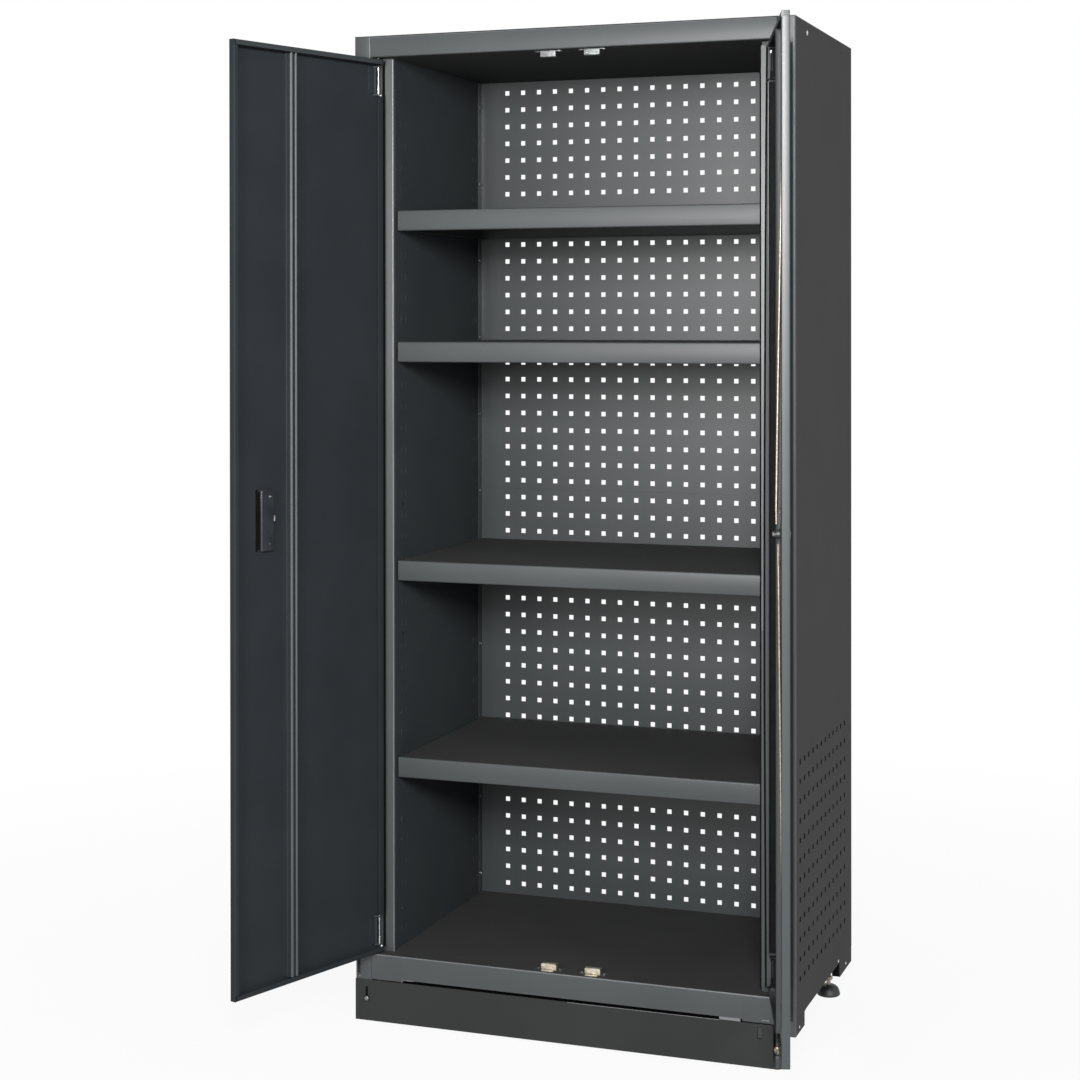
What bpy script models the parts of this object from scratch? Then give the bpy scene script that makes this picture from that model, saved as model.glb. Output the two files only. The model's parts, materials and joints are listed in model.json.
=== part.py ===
import bpy
import bmesh
from math import atan2, cos, floor, hypot, pi, radians, sin, tau
from mathutils import Vector

for old_object in list(bpy.data.objects):
    bpy.data.objects.remove(old_object, do_unlink=True)

# Driving dimensions in metres. X runs across the front, Y to the rear, Z up.
WIDTH = 0.920
DEPTH = 0.535
HEIGHT = 2.020
SHEET = 0.0012
GAP = 0.0003

# Carcass: folded front posts, a slotted inner wall behind each, closed side cavities.
POST_FACE = 0.0355
RABBET = 0.030
SIDE_CAVITY = 0.073
FASCIA = 0.044
FLOOR_LEVEL = 0.142
RAIL = 0.053
RAIL_RETURN = 0.020
RAIL_SLOT_HALF = 0.355
RAIL_SLOT_DEPTH = 0.0055
BACK_RECESS = 0.012
BACK_FLANGE = 0.019

# Lower edge of each side panel: two tabs with a raised stretch between them.
SIDE_CLEAR = 0.098
FRONT_TAB_DROP = 0.028
FRONT_TAB_LENGTH = 0.078
REAR_TAB_DROP = 0.032
REAR_TAB_LENGTH = 0.125

# Perforated back.
PEG_PITCH = 0.038
PEG_HOLE = 0.010
PEG_EDGE_X = 0.050
PEG_EDGE_Z = 0.020

# Shelves hang at whole steps of the slot pitch.
SLOT_PITCH = 0.045
SHELF_STEPS = (37, 31, 21, 12)
SHELF_FRONT = 0.042
SHELF_REAR_GAP = 0.004
SHELF_SIDE_GAP = 0.0045
SHELF_LIP = 0.042
SHELF_HEM = 0.012
HOOK_FRONT_Y = 0.080
HOOK_REAR_INSET = 0.042
HOOK_WIDTH = 0.021
HOOK_HEIGHT = 0.018
HOOK_DROP = 0.012

# Doors: shallow pans hung on pins that stand inside their own depth.
DOOR_DEPTH = 0.015
DOOR_HEM = 0.010
DOOR_GAP = 0.003
DOOR_SIDE_GAP = 0.005
MEETING_GAP = 0.004
LEFT_OPEN = 108.4
RIGHT_OPEN = 106.8
STIFFENER_OFFSET = 0.249
STIFFENER_HALF = 0.0215
STIFFENER_CREST = 0.0078
STIFFENER_WAIST = 0.0128
STIFFENER_TOP_GAP = 0.0108
STIFFENER_BOTTOM_GAP = 0.0108

# Hinges.
HINGE_EDGE = 0.0085
HINGE_SKIN = 0.009
HINGE_INSET = 0.044
HINGE_HALF = 0.030
HINGE_LUG = 0.003
HINGE_PLATE = 0.002
HINGE_EYE = 0.0035
HINGE_ARM = 0.016
LEAF_LENGTH = 0.030
PIN_RADIUS = 0.002
PIN_OVERHANG = 0.006

# Recessed handles and the rod lock of the right door.
CUP_OFFSET = 0.318
CUP_LEVEL = 1.053
CUP_HALF_WIDTH = 0.018
CUP_HALF_HEIGHT = 0.0600
CUP_DEPTH = 0.0115
CUP_WALL = 0.0016
CUP_BEZEL = 0.003
CLIP_HALF = 0.006
CLIP_FOOT = 0.012
LOCK_OFFSET = 0.2835
LOCK_LEVEL = 1.057
LOCK_BARREL = 0.0085
LOCK_PLUG = 0.0055
LOCK_ROSETTE = 0.0112
LOCK_PROUD = 0.008
CAM_HALF = 0.016
CAM_WIDTH = 0.012
CAM_PLATE = 0.0025
CAM_NUT = 0.0055
CAM_NUT_HEIGHT = 0.004
ROD_RADIUS = 0.003
ROD_NEAR = 0.0180
ROD_FAR = 0.0080
ROD_HOLE = 0.0045
ROD_INNER_GAP = 0.002
ROD_OUTER_GAP = 0.004
GUIDE_WALL = 0.003
GUIDE_HEIGHT = 0.010
GUIDE_INSET = 0.12

# Magnetic catches under the fascia and on the bottom rail.
CATCH_OFFSET = 0.046
CATCH_HALF = 0.0165
CATCH_EAR = 0.0095
CATCH_HEIGHT = 0.0125
CATCH_PLATE = 0.0012
CATCH_DEPTH = 0.0135

# Kick plate hung on keyholes, and the levelling feet.
KICK_SHORT = 0.044
KICK_FLOOR_GAP = 0.005
KEYHOLE_INSET = 0.025
KEYHOLE_LEVEL = 0.050
KEYHOLE_RADIUS = 0.006
KEYHOLE_SLOT = 0.0028
KEYHOLE_RISE = 0.024
KICK_SCREW_HEAD = 0.0048
KICK_SCREW_SHANK = 0.0025
KICK_SCREW_PROUD = 0.002
FOOT_INSET_X = 0.042
FOOT_FRONT_Y = 0.050
FOOT_REAR_INSET = 0.040
FOOT_CHANNEL = 0.003
FOOT_CHANNEL_DEPTH = 0.062
FOOT_HOOK_LEVEL = 0.036
FOOT_HOOK_RISE = 0.030
FOOT_PAD_RADIUS = 0.0245
FOOT_PAD_RIM = 0.007
FOOT_PAD_HEIGHT = 0.022
FOOT_PAD_NECK = 0.009
FOOT_STEM = 0.005
FOOT_STEM_RISE = 0.020
FOOT_NUT = 0.0088
FOOT_NUT_LEVEL = 0.032
FOOT_NUT_HEIGHT = 0.008

ROUND = 16
SIDES = (("left", -1), ("right", 1))

# Levels and faces that several pieces share.
half_width = WIDTH / 2
inner_half = half_width - SIDE_CAVITY
post_edge = half_width - POST_FACE
carcass_top = HEIGHT - SHEET - GAP
ceiling = HEIGHT - FASCIA
rail_bottom = FLOOR_LEVEL - RAIL
tab_level = SIDE_CLEAR - FRONT_TAB_DROP
back_face = DEPTH - BACK_RECESS
wall_front = RABBET + SHEET + GAP
clear_half = inner_half - GAP
door_top = ceiling - DOOR_GAP
door_bottom = FLOOR_LEVEL + DOOR_GAP
axis_x = post_edge - DOOR_SIDE_GAP - HINGE_EDGE
axis_y = HINGE_SKIN
door_reach = axis_x - MEETING_GAP / 2
hinge_levels = (door_top - HINGE_INSET, door_bottom + HINGE_INSET)


# Mesh building blocks. Each adds one closed body to a bmesh.
def add_box(bm, x, y, z):
    corners = [bm.verts.new((a, b, c)) for c in z for b in y for a in x]
    for face in ((0, 1, 3, 2), (4, 5, 7, 6), (0, 1, 5, 4), (2, 3, 7, 6), (0, 2, 6, 4), (1, 3, 7, 5)):
        bm.faces.new([corners[i] for i in face])


def on_axis(axis, a, b, along):
    return {"x": (along, a, b), "y": (a, along, b), "z": (a, b, along)}[axis]


def add_loft(bm, rings, closed=False):
    loops = [[bm.verts.new(point) for point in ring] for ring in rings]
    if closed:
        loops.append(loops[0])
    else:
        bm.faces.new(loops[0])
        bm.faces.new(loops[-1])
    for low, high in zip(loops, loops[1:]):
        for i in range(len(low)):
            j = (i + 1) % len(low)
            bm.faces.new((low[i], low[j], high[j], high[i]))


def add_prism(bm, outline, axis, span):
    add_loft(bm, [[on_axis(axis, a, b, along) for a, b in outline] for along in span])


def circle(radius, sides=ROUND):
    angles = [tau * (i + 0.5) / sides for i in range(sides)]
    return [(radius * cos(angle), radius * sin(angle)) for angle in angles]


def add_turned(bm, profile, axis, centre=(0.0, 0.0), sides=ROUND, bored=False):
    rings = []
    for radius, along in profile:
        rings.append([on_axis(axis, centre[0] + a, centre[1] + b, along) for a, b in circle(radius, sides)])
    add_loft(bm, rings, closed=bored)


def rectangle(x, y, inset=0.0):
    return [(x[0] + inset, y[0] + inset), (x[1] - inset, y[0] + inset),
            (x[1] - inset, y[1] - inset), (x[0] + inset, y[1] - inset)]


def folded(path, thickness):
    # Outline of a folded sheet whose thickness lies to the left of its path.
    points = [Vector(point) for point in path]
    normals = []
    for start, end in zip(points, points[1:]):
        run = (end - start).normalized()
        normals.append(Vector((-run.y, run.x)))
    outline = list(points)
    for i in reversed(range(len(points))):
        before = normals[max(i - 1, 0)]
        after = normals[min(i, len(normals) - 1)]
        mitre = (before + after) / (1 + before.dot(after))
        outline.append(points[i] + mitre * thickness)
    return [tuple(point) for point in outline]


def add_pan(bm, x, y, levels, wall, hem, axis):
    # A pan with upright edges that fold back over its mouth; levels run from its outer face to its mouth.
    outer, mouth = levels
    inward = 1 if mouth > outer else -1
    floor_level = outer + inward * wall
    hem_level = mouth - inward * wall
    steps = ((0.0, outer), (0.0, mouth), (hem, mouth), (hem, hem_level), (wall, hem_level), (wall, floor_level))
    add_loft(bm, [[on_axis(axis, a, b, level) for a, b in rectangle(x, y, inset)] for inset, level in steps])


def add_perforated(bm, x_lines, z_lines, y):
    # A sheet on a grid of lines, open where a column and a row both have odd numbers.
    columns = len(x_lines) - 1
    rows = len(z_lines) - 1
    grid = [[[bm.verts.new((a, level, c)) for c in z_lines] for a in x_lines] for level in y]

    def solid(i, j):
        return 0 <= i < columns and 0 <= j < rows and not (i % 2 and j % 2)

    for i in range(columns):
        for j in range(rows):
            if not solid(i, j):
                continue
            corners = ((i, j), (i + 1, j), (i + 1, j + 1), (i, j + 1))
            neighbours = ((i, j - 1), (i + 1, j), (i, j + 1), (i - 1, j))
            bm.faces.new([grid[0][a][b] for a, b in corners])
            bm.faces.new([grid[1][a][b] for a, b in reversed(corners)])
            for side in range(4):
                if not solid(*neighbours[side]):
                    a, b = corners[side]
                    c, d = corners[(side + 1) % 4]
                    bm.faces.new((grid[0][c][d], grid[0][a][b], grid[1][a][b], grid[1][c][d]))


def pattern_lines(low, high, pitch, hole, edge):
    # Lines of a centred row of square holes between two edges.
    count = floor((high - low - 2 * edge) / pitch) + 1
    first = (low + high - (count - 1) * pitch) / 2
    lines = [low]
    for i in range(count):
        lines += [first + i * pitch - hole / 2, first + i * pitch + hole / 2]
    return lines + [high]


# Objects and materials.
def finish(name, colour, roughness, metallic):
    material = bpy.data.materials.new(name)
    material.use_nodes = True
    shader = material.node_tree.nodes["Principled BSDF"]
    shader.inputs["Base Color"].default_value = (*colour, 1.0)
    shader.inputs["Roughness"].default_value = roughness
    shader.inputs["Metallic"].default_value = metallic
    return material


powder_coat = finish("anthracite_powder_coat", (0.105, 0.115, 0.120), 0.55, 0.0)
zinc = finish("bright_zinc", (0.62, 0.62, 0.60), 0.32, 1.0)
yellow_zinc = finish("yellow_zinc", (0.62, 0.47, 0.26), 0.38, 1.0)
black_plastic = finish("black_plastic", (0.018, 0.018, 0.020), 0.5, 0.0)
black_rubber = finish("black_rubber", (0.022, 0.024, 0.026), 0.7, 0.0)

cabinet = bpy.data.objects.new("cabinet", None)
bpy.context.scene.collection.objects.link(cabinet)


def add_empty(name, parent, location, turn=0.0):
    empty = bpy.data.objects.new(name, None)
    bpy.context.scene.collection.objects.link(empty)
    empty.parent = parent
    empty.location = location
    empty.rotation_euler = (0.0, 0.0, turn)
    return empty


def add_object(name, bm, material, parent=cabinet, location=(0.0, 0.0, 0.0), smooth=False):
    bmesh.ops.recalc_face_normals(bm, faces=bm.faces)
    mesh = bpy.data.meshes.new(name)
    bm.to_mesh(mesh)
    bm.free()
    if smooth:
        mesh.shade_smooth()
        mesh.set_sharp_from_angle(angle=radians(40))
    mesh.materials.append(material)
    item = bpy.data.objects.new(name, mesh)
    bpy.context.scene.collection.objects.link(item)
    item.parent = parent
    item.location = location
    return item


def combine(item, bm, name, operation="DIFFERENCE"):
    tool = add_object(name, bm, powder_coat, item.parent, item.location)
    tool.hide_render = True
    tool.display_type = "WIRE"
    modifier = item.modifiers.new(name, "BOOLEAN")
    modifier.operation = operation
    modifier.solver = "EXACT"
    modifier.object = tool


def mirrored(side, outline):
    return [(side * a, b) for a, b in outline]


# Carcass sheets.
def build_sides():
    tab_rear = DEPTH - REAR_TAB_LENGTH
    rear_level = SIDE_CLEAR - REAR_TAB_DROP
    side_front = SHEET + GAP
    edge = [(side_front, tab_level), (FRONT_TAB_LENGTH, tab_level), (FRONT_TAB_LENGTH, SIDE_CLEAR),
            (tab_rear, SIDE_CLEAR), (tab_rear, rear_level), (DEPTH, rear_level),
            (DEPTH, carcass_top), (side_front, carcass_top)]
    post = folded([(inner_half, RABBET), (post_edge, RABBET), (post_edge, 0.0), (half_width, 0.0)], SHEET)
    for label, side in SIDES:
        bm = bmesh.new()
        add_prism(bm, edge, "x", (side * (half_width - SHEET), side * half_width))
        add_object(f"side_panel_{label}", bm, powder_coat)

        bm = bmesh.new()
        add_prism(bm, mirrored(side, post), "z", (tab_level, carcass_top))
        add_object(f"front_post_{label}", bm, powder_coat)

        bm = bmesh.new()
        add_box(bm, (side * inner_half, side * (inner_half + SHEET)),
                (wall_front, DEPTH - SHEET - GAP), (SIDE_CLEAR, carcass_top))
        add_object(f"inner_wall_{label}", bm, powder_coat)

        bm = bmesh.new()
        add_box(bm, (side * inner_half, side * (half_width - SHEET - GAP)),
                (DEPTH - SHEET, DEPTH), (SIDE_CLEAR, carcass_top))
        add_object(f"rear_post_{label}", bm, powder_coat)


def build_rails():
    rail_half = post_edge - GAP
    lip = RABBET - GAP
    fascia = folded([(lip, ceiling), (0.0, ceiling), (0.0, carcass_top), (RAIL_RETURN, carcass_top)], -SHEET)
    front = folded([(lip, FLOOR_LEVEL), (0.0, FLOOR_LEVEL), (0.0, rail_bottom), (RAIL_RETURN, rail_bottom)], SHEET)
    lock_x = axis_x - LOCK_OFFSET
    for name, outline in (("top_rail", fascia), ("bottom_rail", front)):
        bm = bmesh.new()
        add_prism(bm, outline, "x", (-rail_half, rail_half))
        rail = add_object(name, bm, powder_coat)
        level = ceiling if name == "top_rail" else FLOOR_LEVEL
        bm = bmesh.new()
        add_turned(bm, ((ROD_HOLE, level - 3 * SHEET), (ROD_HOLE, level + 3 * SHEET)), "z", (lock_x, ROD_FAR))
        combine(rail, bm, f"cutter_{name}_rod_hole")
    bm = bmesh.new()
    add_box(bm, (-RAIL_SLOT_HALF, RAIL_SLOT_HALF), (-SHEET, RAIL_RETURN * 2),
            (rail_bottom - SHEET, rail_bottom + RAIL_SLOT_DEPTH))
    combine(bpy.data.objects["bottom_rail"], bm, "cutter_finger_slot")

    bm = bmesh.new()
    add_box(bm, (-half_width, half_width), (0.0, DEPTH), (HEIGHT - SHEET, HEIGHT))
    add_object("top_cover", bm, powder_coat)
    ceiling_fold = folded([(RABBET, ceiling), (DEPTH, ceiling), (DEPTH, carcass_top)], SHEET)
    floor_fold = folded([(RABBET, FLOOR_LEVEL), (DEPTH, FLOOR_LEVEL), (DEPTH, SIDE_CLEAR)], -SHEET)
    for name, outline in (("ceiling_panel", ceiling_fold), ("floor_panel", floor_fold)):
        bm = bmesh.new()
        add_prism(bm, outline, "x", (-clear_half, clear_half))
        add_object(name, bm, powder_coat)


def build_back():
    x_lines = pattern_lines(-clear_half, clear_half, PEG_PITCH, PEG_HOLE, PEG_EDGE_X)
    bottom = FLOOR_LEVEL + GAP
    top = ceiling - GAP
    z_lines = pattern_lines(bottom, top, PEG_PITCH, PEG_HOLE, PEG_EDGE_Z)
    # The sheet comes in two lengths that meet midway between two rows of holes.
    middle = (len(z_lines) - 2) // 4 * 2
    seam = (z_lines[middle] + z_lines[middle + 1]) / 2
    lower = z_lines[:middle + 1] + [seam - GAP / 2]
    upper = [seam + GAP / 2] + z_lines[middle + 1:]
    for name, lines in (("back_panel_lower", lower), ("back_panel_upper", upper)):
        bm = bmesh.new()
        add_perforated(bm, x_lines, lines, (back_face, back_face + SHEET))
        add_object(name, bm, powder_coat)

    for label, side in SIDES:
        bm = bmesh.new()
        add_box(bm, (side * (clear_half - SHEET), side * clear_half),
                (back_face - BACK_FLANGE, back_face - GAP), (bottom, top))
        add_object(f"back_flange_{label}", bm, powder_coat)


def build_shelves():
    shelf_half = inner_half - SHELF_SIDE_GAP
    hook_rows = (HOOK_FRONT_Y, back_face - HOOK_REAR_INSET)
    for number, step in enumerate(SHELF_STEPS, 1):
        top = step * SLOT_PITCH
        bm = bmesh.new()
        add_pan(bm, (-shelf_half, shelf_half), (SHELF_FRONT, back_face - SHELF_REAR_GAP),
                (top, top - SHELF_LIP), SHEET, SHELF_HEM, "z")
        shelf = add_object(f"shelf_{number}", bm, powder_coat)
        # Hooks on the side folds reach the slotted walls.
        hooks = bmesh.new()
        for label, side in SIDES:
            for y in hook_rows:
                add_box(hooks, (side * (shelf_half - SHEET / 2), side * clear_half),
                        (y - HOOK_WIDTH / 2, y + HOOK_WIDTH / 2), (top - HOOK_DROP - HOOK_HEIGHT, top - HOOK_DROP))
        combine(shelf, hooks, f"hooks_shelf_{number}", "UNION")


def build_catches():
    front = DOOR_DEPTH + 2 * GAP
    for row, level, down in (("top", ceiling - GAP, -1), ("bottom", FLOOR_LEVEL + GAP, 1)):
        ear = CATCH_HALF + CATCH_EAR
        plate = level + down * CATCH_PLATE
        tip = level + down * CATCH_HEIGHT
        profile = [(-ear, level), (ear, level), (ear, plate), (CATCH_HALF, plate),
                   (CATCH_HALF, tip), (-CATCH_HALF, tip), (-CATCH_HALF, plate), (-ear, plate)]
        for label, side in SIDES:
            bm = bmesh.new()
            add_prism(bm, [(side * CATCH_OFFSET + a, b) for a, b in profile], "y", (front, front + CATCH_DEPTH))
            add_object(f"{row}_catch_{label}", bm, zinc)


# Base: kick plate, feet and their brackets.
def build_base():
    kick_rear = -GAP
    kick_front = kick_rear - SHEET
    kick_left = -half_width
    kick_right = half_width - KICK_SHORT
    bm = bmesh.new()
    add_box(bm, (kick_left, kick_right), (kick_front, kick_rear), (KICK_FLOOR_GAP, rail_bottom - GAP))
    kick = add_object("kick_plate", bm, powder_coat)
    through = (kick_front - SHEET, kick_rear + SHEET)
    slot = [(KEYHOLE_SLOT, 0.0), (KEYHOLE_SLOT, KEYHOLE_RISE), (-KEYHOLE_SLOT, KEYHOLE_RISE), (-KEYHOLE_SLOT, 0.0)]
    round_part = [(KEYHOLE_RADIUS * cos(a), KEYHOLE_RADIUS * sin(a))
                  for a in [pi * 0.65 + i * pi * 1.7 / ROUND for i in range(ROUND + 1)]]
    keyhole = round_part + slot[1:3]
    for label, x in (("left", kick_left + KEYHOLE_INSET), ("right", kick_right - KEYHOLE_INSET)):
        bm = bmesh.new()
        add_prism(bm, [(x + a, KEYHOLE_LEVEL + b) for a, b in keyhole], "y", through)
        combine(kick, bm, f"cutter_keyhole_{label}")

    hook_face = SHEET + GAP
    bm = bmesh.new()
    head = kick_front - GAP
    profile = ((KICK_SCREW_HEAD * 0.8, head - KICK_SCREW_PROUD), (KICK_SCREW_HEAD, head - KICK_SCREW_PROUD / 2),
               (KICK_SCREW_HEAD, head), (KICK_SCREW_SHANK, head), (KICK_SCREW_SHANK, hook_face - GAP))
    add_turned(bm, profile, "y", (kick_left + KEYHOLE_INSET, KEYHOLE_LEVEL))
    add_object("kick_plate_screw", bm, zinc, smooth=True)

    # A folded channel under each end carries two feet; the front one also holds the kick plate.
    plate_top = SIDE_CLEAR - GAP
    outer = half_width - SHEET - GAP
    front_edge = wall_front
    front_fold = folded([(front_edge + FOOT_CHANNEL_DEPTH, plate_top), (front_edge, plate_top),
                         (front_edge, FOOT_HOOK_LEVEL), (hook_face + FOOT_CHANNEL, FOOT_HOOK_LEVEL),
                         (hook_face + FOOT_CHANNEL, FOOT_HOOK_LEVEL + FOOT_HOOK_RISE)], FOOT_CHANNEL)
    rear_edge = DEPTH - SHEET - GAP
    rear_fold = folded([(rear_edge, tab_level), (rear_edge, plate_top),
                        (rear_edge - FOOT_CHANNEL_DEPTH, plate_top)], FOOT_CHANNEL)
    for row, fold, foot_y in (("front", front_fold, FOOT_FRONT_Y), ("rear", rear_fold, DEPTH - FOOT_REAR_INSET)):
        bm = bmesh.new()
        add_prism(bm, fold, "x", (-outer, outer))
        channel = add_object(f"{row}_foot_channel", bm, powder_coat)
        bores = bmesh.new()
        for label, side in SIDES:
            foot_x = side * (half_width - FOOT_INSET_X)
            bore = FOOT_STEM + GAP
            add_turned(bores, ((bore, plate_top - 2 * FOOT_CHANNEL), (bore, plate_top + FOOT_CHANNEL)),
                       "z", (foot_x, foot_y))
            build_foot(f"{row}_{label}", (foot_x, foot_y, 0.0), plate_top)
        combine(channel, bores, f"{row}_foot_bores")


def build_foot(label, location, plate_top):
    bm = bmesh.new()
    pad = ((FOOT_PAD_RADIUS * 0.9, 0.0), (FOOT_PAD_RADIUS, FOOT_PAD_RIM * 0.3), (FOOT_PAD_RADIUS, FOOT_PAD_RIM),
           (FOOT_PAD_NECK, FOOT_PAD_HEIGHT - SHEET), (FOOT_PAD_NECK * 0.9, FOOT_PAD_HEIGHT))
    add_turned(bm, pad, "z", sides=24)
    add_object(f"foot_pad_{label}", bm, black_rubber, location=location, smooth=True)
    bm = bmesh.new()
    nut_top = FOOT_NUT_LEVEL + FOOT_NUT_HEIGHT
    stem_top = plate_top + FOOT_STEM_RISE
    hexagon = circle(FOOT_NUT, 6)
    nut = []
    for i in range(6):
        a, b = hexagon[i], hexagon[(i + 1) % 6]
        nut += [a, ((a[0] + b[0]) / 2, (a[1] + b[1]) / 2)]
    stem = circle(FOOT_STEM, 12)
    levels = ((stem, FOOT_PAD_HEIGHT + GAP), (stem, FOOT_NUT_LEVEL), (nut, FOOT_NUT_LEVEL),
              (nut, nut_top), (stem, nut_top), (stem, stem_top))
    add_loft(bm, [[(a, b, level) for a, b in outline] for outline, level in levels])
    add_object(f"foot_stem_{label}", bm, yellow_zinc, location=location, smooth=True)


# Hinges: a bracket on the post with its fixed pin, and a leaf on the door that turns on it.
def build_hinges(label, side, door):
    base = RABBET - GAP - axis_y
    eye = HINGE_EYE
    profile = folded([(-eye, -HINGE_HALF), (base, -HINGE_HALF), (base, HINGE_HALF), (-eye, HINGE_HALF)], HINGE_LUG)
    knuckle_half = HINGE_HALF - HINGE_LUG - 2 * GAP
    leaf_low = SHEET + GAP - HINGE_SKIN
    leaf_high = leaf_low + HINGE_PLATE
    radius = eye + GAP
    arc = [(radius * cos(pi * i / 6), radius * sin(pi * i / 6)) for i in range(7)]
    leaf = [(-radius, leaf_low), (LEAF_LENGTH, leaf_low), (LEAF_LENGTH, leaf_high), (radius, leaf_high)] + arc
    bore = PIN_RADIUS + GAP
    pin_half = HINGE_HALF + PIN_OVERHANG
    for row, level in zip(("top", "bottom"), hinge_levels):
        name = f"hinge_bracket_{label}_{row}"
        bm = bmesh.new()
        outline = [(axis_y + a, level + b) for a, b in profile]
        add_prism(bm, outline, "x", (side * (axis_x + eye), side * (axis_x - HINGE_ARM)))
        bracket = add_object(name, bm, zinc)
        pin = bmesh.new()
        add_turned(pin, ((PIN_RADIUS, level - pin_half), (PIN_RADIUS, level + pin_half)), "z", (side * axis_x, axis_y))
        combine(bracket, pin, f"{name}_pin", "UNION")
        bm = bmesh.new()
        add_prism(bm, mirrored(-side, leaf), "z", (level - knuckle_half, level + knuckle_half))
        leaf_object = add_object(f"hinge_leaf_{label}_{row}", bm, zinc, door)
        hole = bmesh.new()
        add_turned(hole, ((bore, level - HINGE_HALF), (bore, level + HINGE_HALF)), "z")
        combine(leaf_object, hole, f"hinge_leaf_{label}_{row}_bore")


# Doors. Inside a door, s runs from the pin towards the free edge and n from the outer face inwards.
def door_span(side, s):
    return sorted((-side * s[0], -side * s[1]))


def door_depth(n):
    return (n[0] - HINGE_SKIN, n[1] - HINGE_SKIN)


def build_door(label, side, opening):
    door = add_empty(f"{label}_door_axis", cabinet, (side * axis_x, axis_y, 0.0), side * radians(opening))
    across = door_span(side, (-HINGE_EDGE, door_reach))
    bm = bmesh.new()
    add_pan(bm, across, (door_bottom, door_top), door_depth((0.0, DOOR_DEPTH)), SHEET, DOOR_HEM, "y")
    panel = add_object(f"{label}_door_panel", bm, powder_coat, door)

    notches = bmesh.new()
    clearance = HINGE_LUG
    for level in hinge_levels:
        add_box(notches, door_span(side, (-HINGE_EDGE - SHEET, DOOR_HEM)),
                door_depth((SHEET + GAP, DOOR_DEPTH + SHEET)),
                (level - HINGE_HALF - clearance, level + HINGE_HALF + clearance))
    combine(panel, notches, f"cutter_hinge_notches_{label}")
    window = bmesh.new()
    add_box(window, door_span(side, (CUP_OFFSET - CUP_HALF_WIDTH - GAP, CUP_OFFSET + CUP_HALF_WIDTH + GAP)),
            door_depth((-SHEET, 2 * SHEET)),
            (CUP_LEVEL - CUP_HALF_HEIGHT - GAP, CUP_LEVEL + CUP_HALF_HEIGHT + GAP))
    combine(panel, window, f"cutter_handle_window_{label}")

    build_stiffener(label, side, door)
    build_handle(label, side, door)
    build_hinges(label, side, door)
    return door, panel


def build_stiffener(label, side, door):
    foot = SHEET + GAP
    crest = DOOR_DEPTH - SHEET
    path = [(-STIFFENER_HALF, foot), (-STIFFENER_WAIST, foot), (-STIFFENER_CREST, crest),
            (STIFFENER_CREST, crest), (STIFFENER_WAIST, foot), (STIFFENER_HALF, foot)]
    outline = [(-side * (STIFFENER_OFFSET + a), b - HINGE_SKIN) for a, b in folded(path, SHEET)]
    bm = bmesh.new()
    add_prism(bm, outline, "z", (door_bottom + STIFFENER_BOTTOM_GAP, door_top - STIFFENER_TOP_GAP))
    add_object(f"{label}_door_stiffener", bm, powder_coat, door)


def build_handle(label, side, door):
    # The cup opens to the outside and its bezel lies on the outer face.
    bezel = (-GAP - CUP_WALL, -GAP)
    width = (CUP_HALF_WIDTH, CUP_HALF_HEIGHT)
    steps = ((-CUP_WALL, CUP_DEPTH - CUP_WALL), (-CUP_WALL, bezel[0]), (CUP_BEZEL, bezel[0]),
             (CUP_BEZEL, bezel[1]), (0.0, bezel[1]), (0.0, CUP_DEPTH))
    rings = []
    for grow, n in steps:
        x = (-side * CUP_OFFSET - width[0] - grow, -side * CUP_OFFSET + width[0] + grow)
        z = (CUP_LEVEL - width[1] - grow, CUP_LEVEL + width[1] + grow)
        rings.append([(a, n - HINGE_SKIN, b) for a, b in rectangle(x, z)])
    bm = bmesh.new()
    add_loft(bm, rings)
    add_object(f"{label}_handle_cup", bm, black_plastic, door)

    if label == "right":
        return
    # A spring clip grips the left cup from the stiffener side.
    edge = CUP_OFFSET - CUP_HALF_WIDTH - GAP
    foot = SHEET + GAP
    path = [(edge, foot + CUP_DEPTH * 0.5), (edge, foot), (edge - CLIP_FOOT, foot)]
    outline = [(-side * a, b - HINGE_SKIN) for a, b in folded(path, -SHEET)]
    bm = bmesh.new()
    add_prism(bm, outline, "z", (CUP_LEVEL - CLIP_HALF, CUP_LEVEL + CLIP_HALF))
    add_object(f"{label}_handle_clip", bm, zinc, door)


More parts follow.
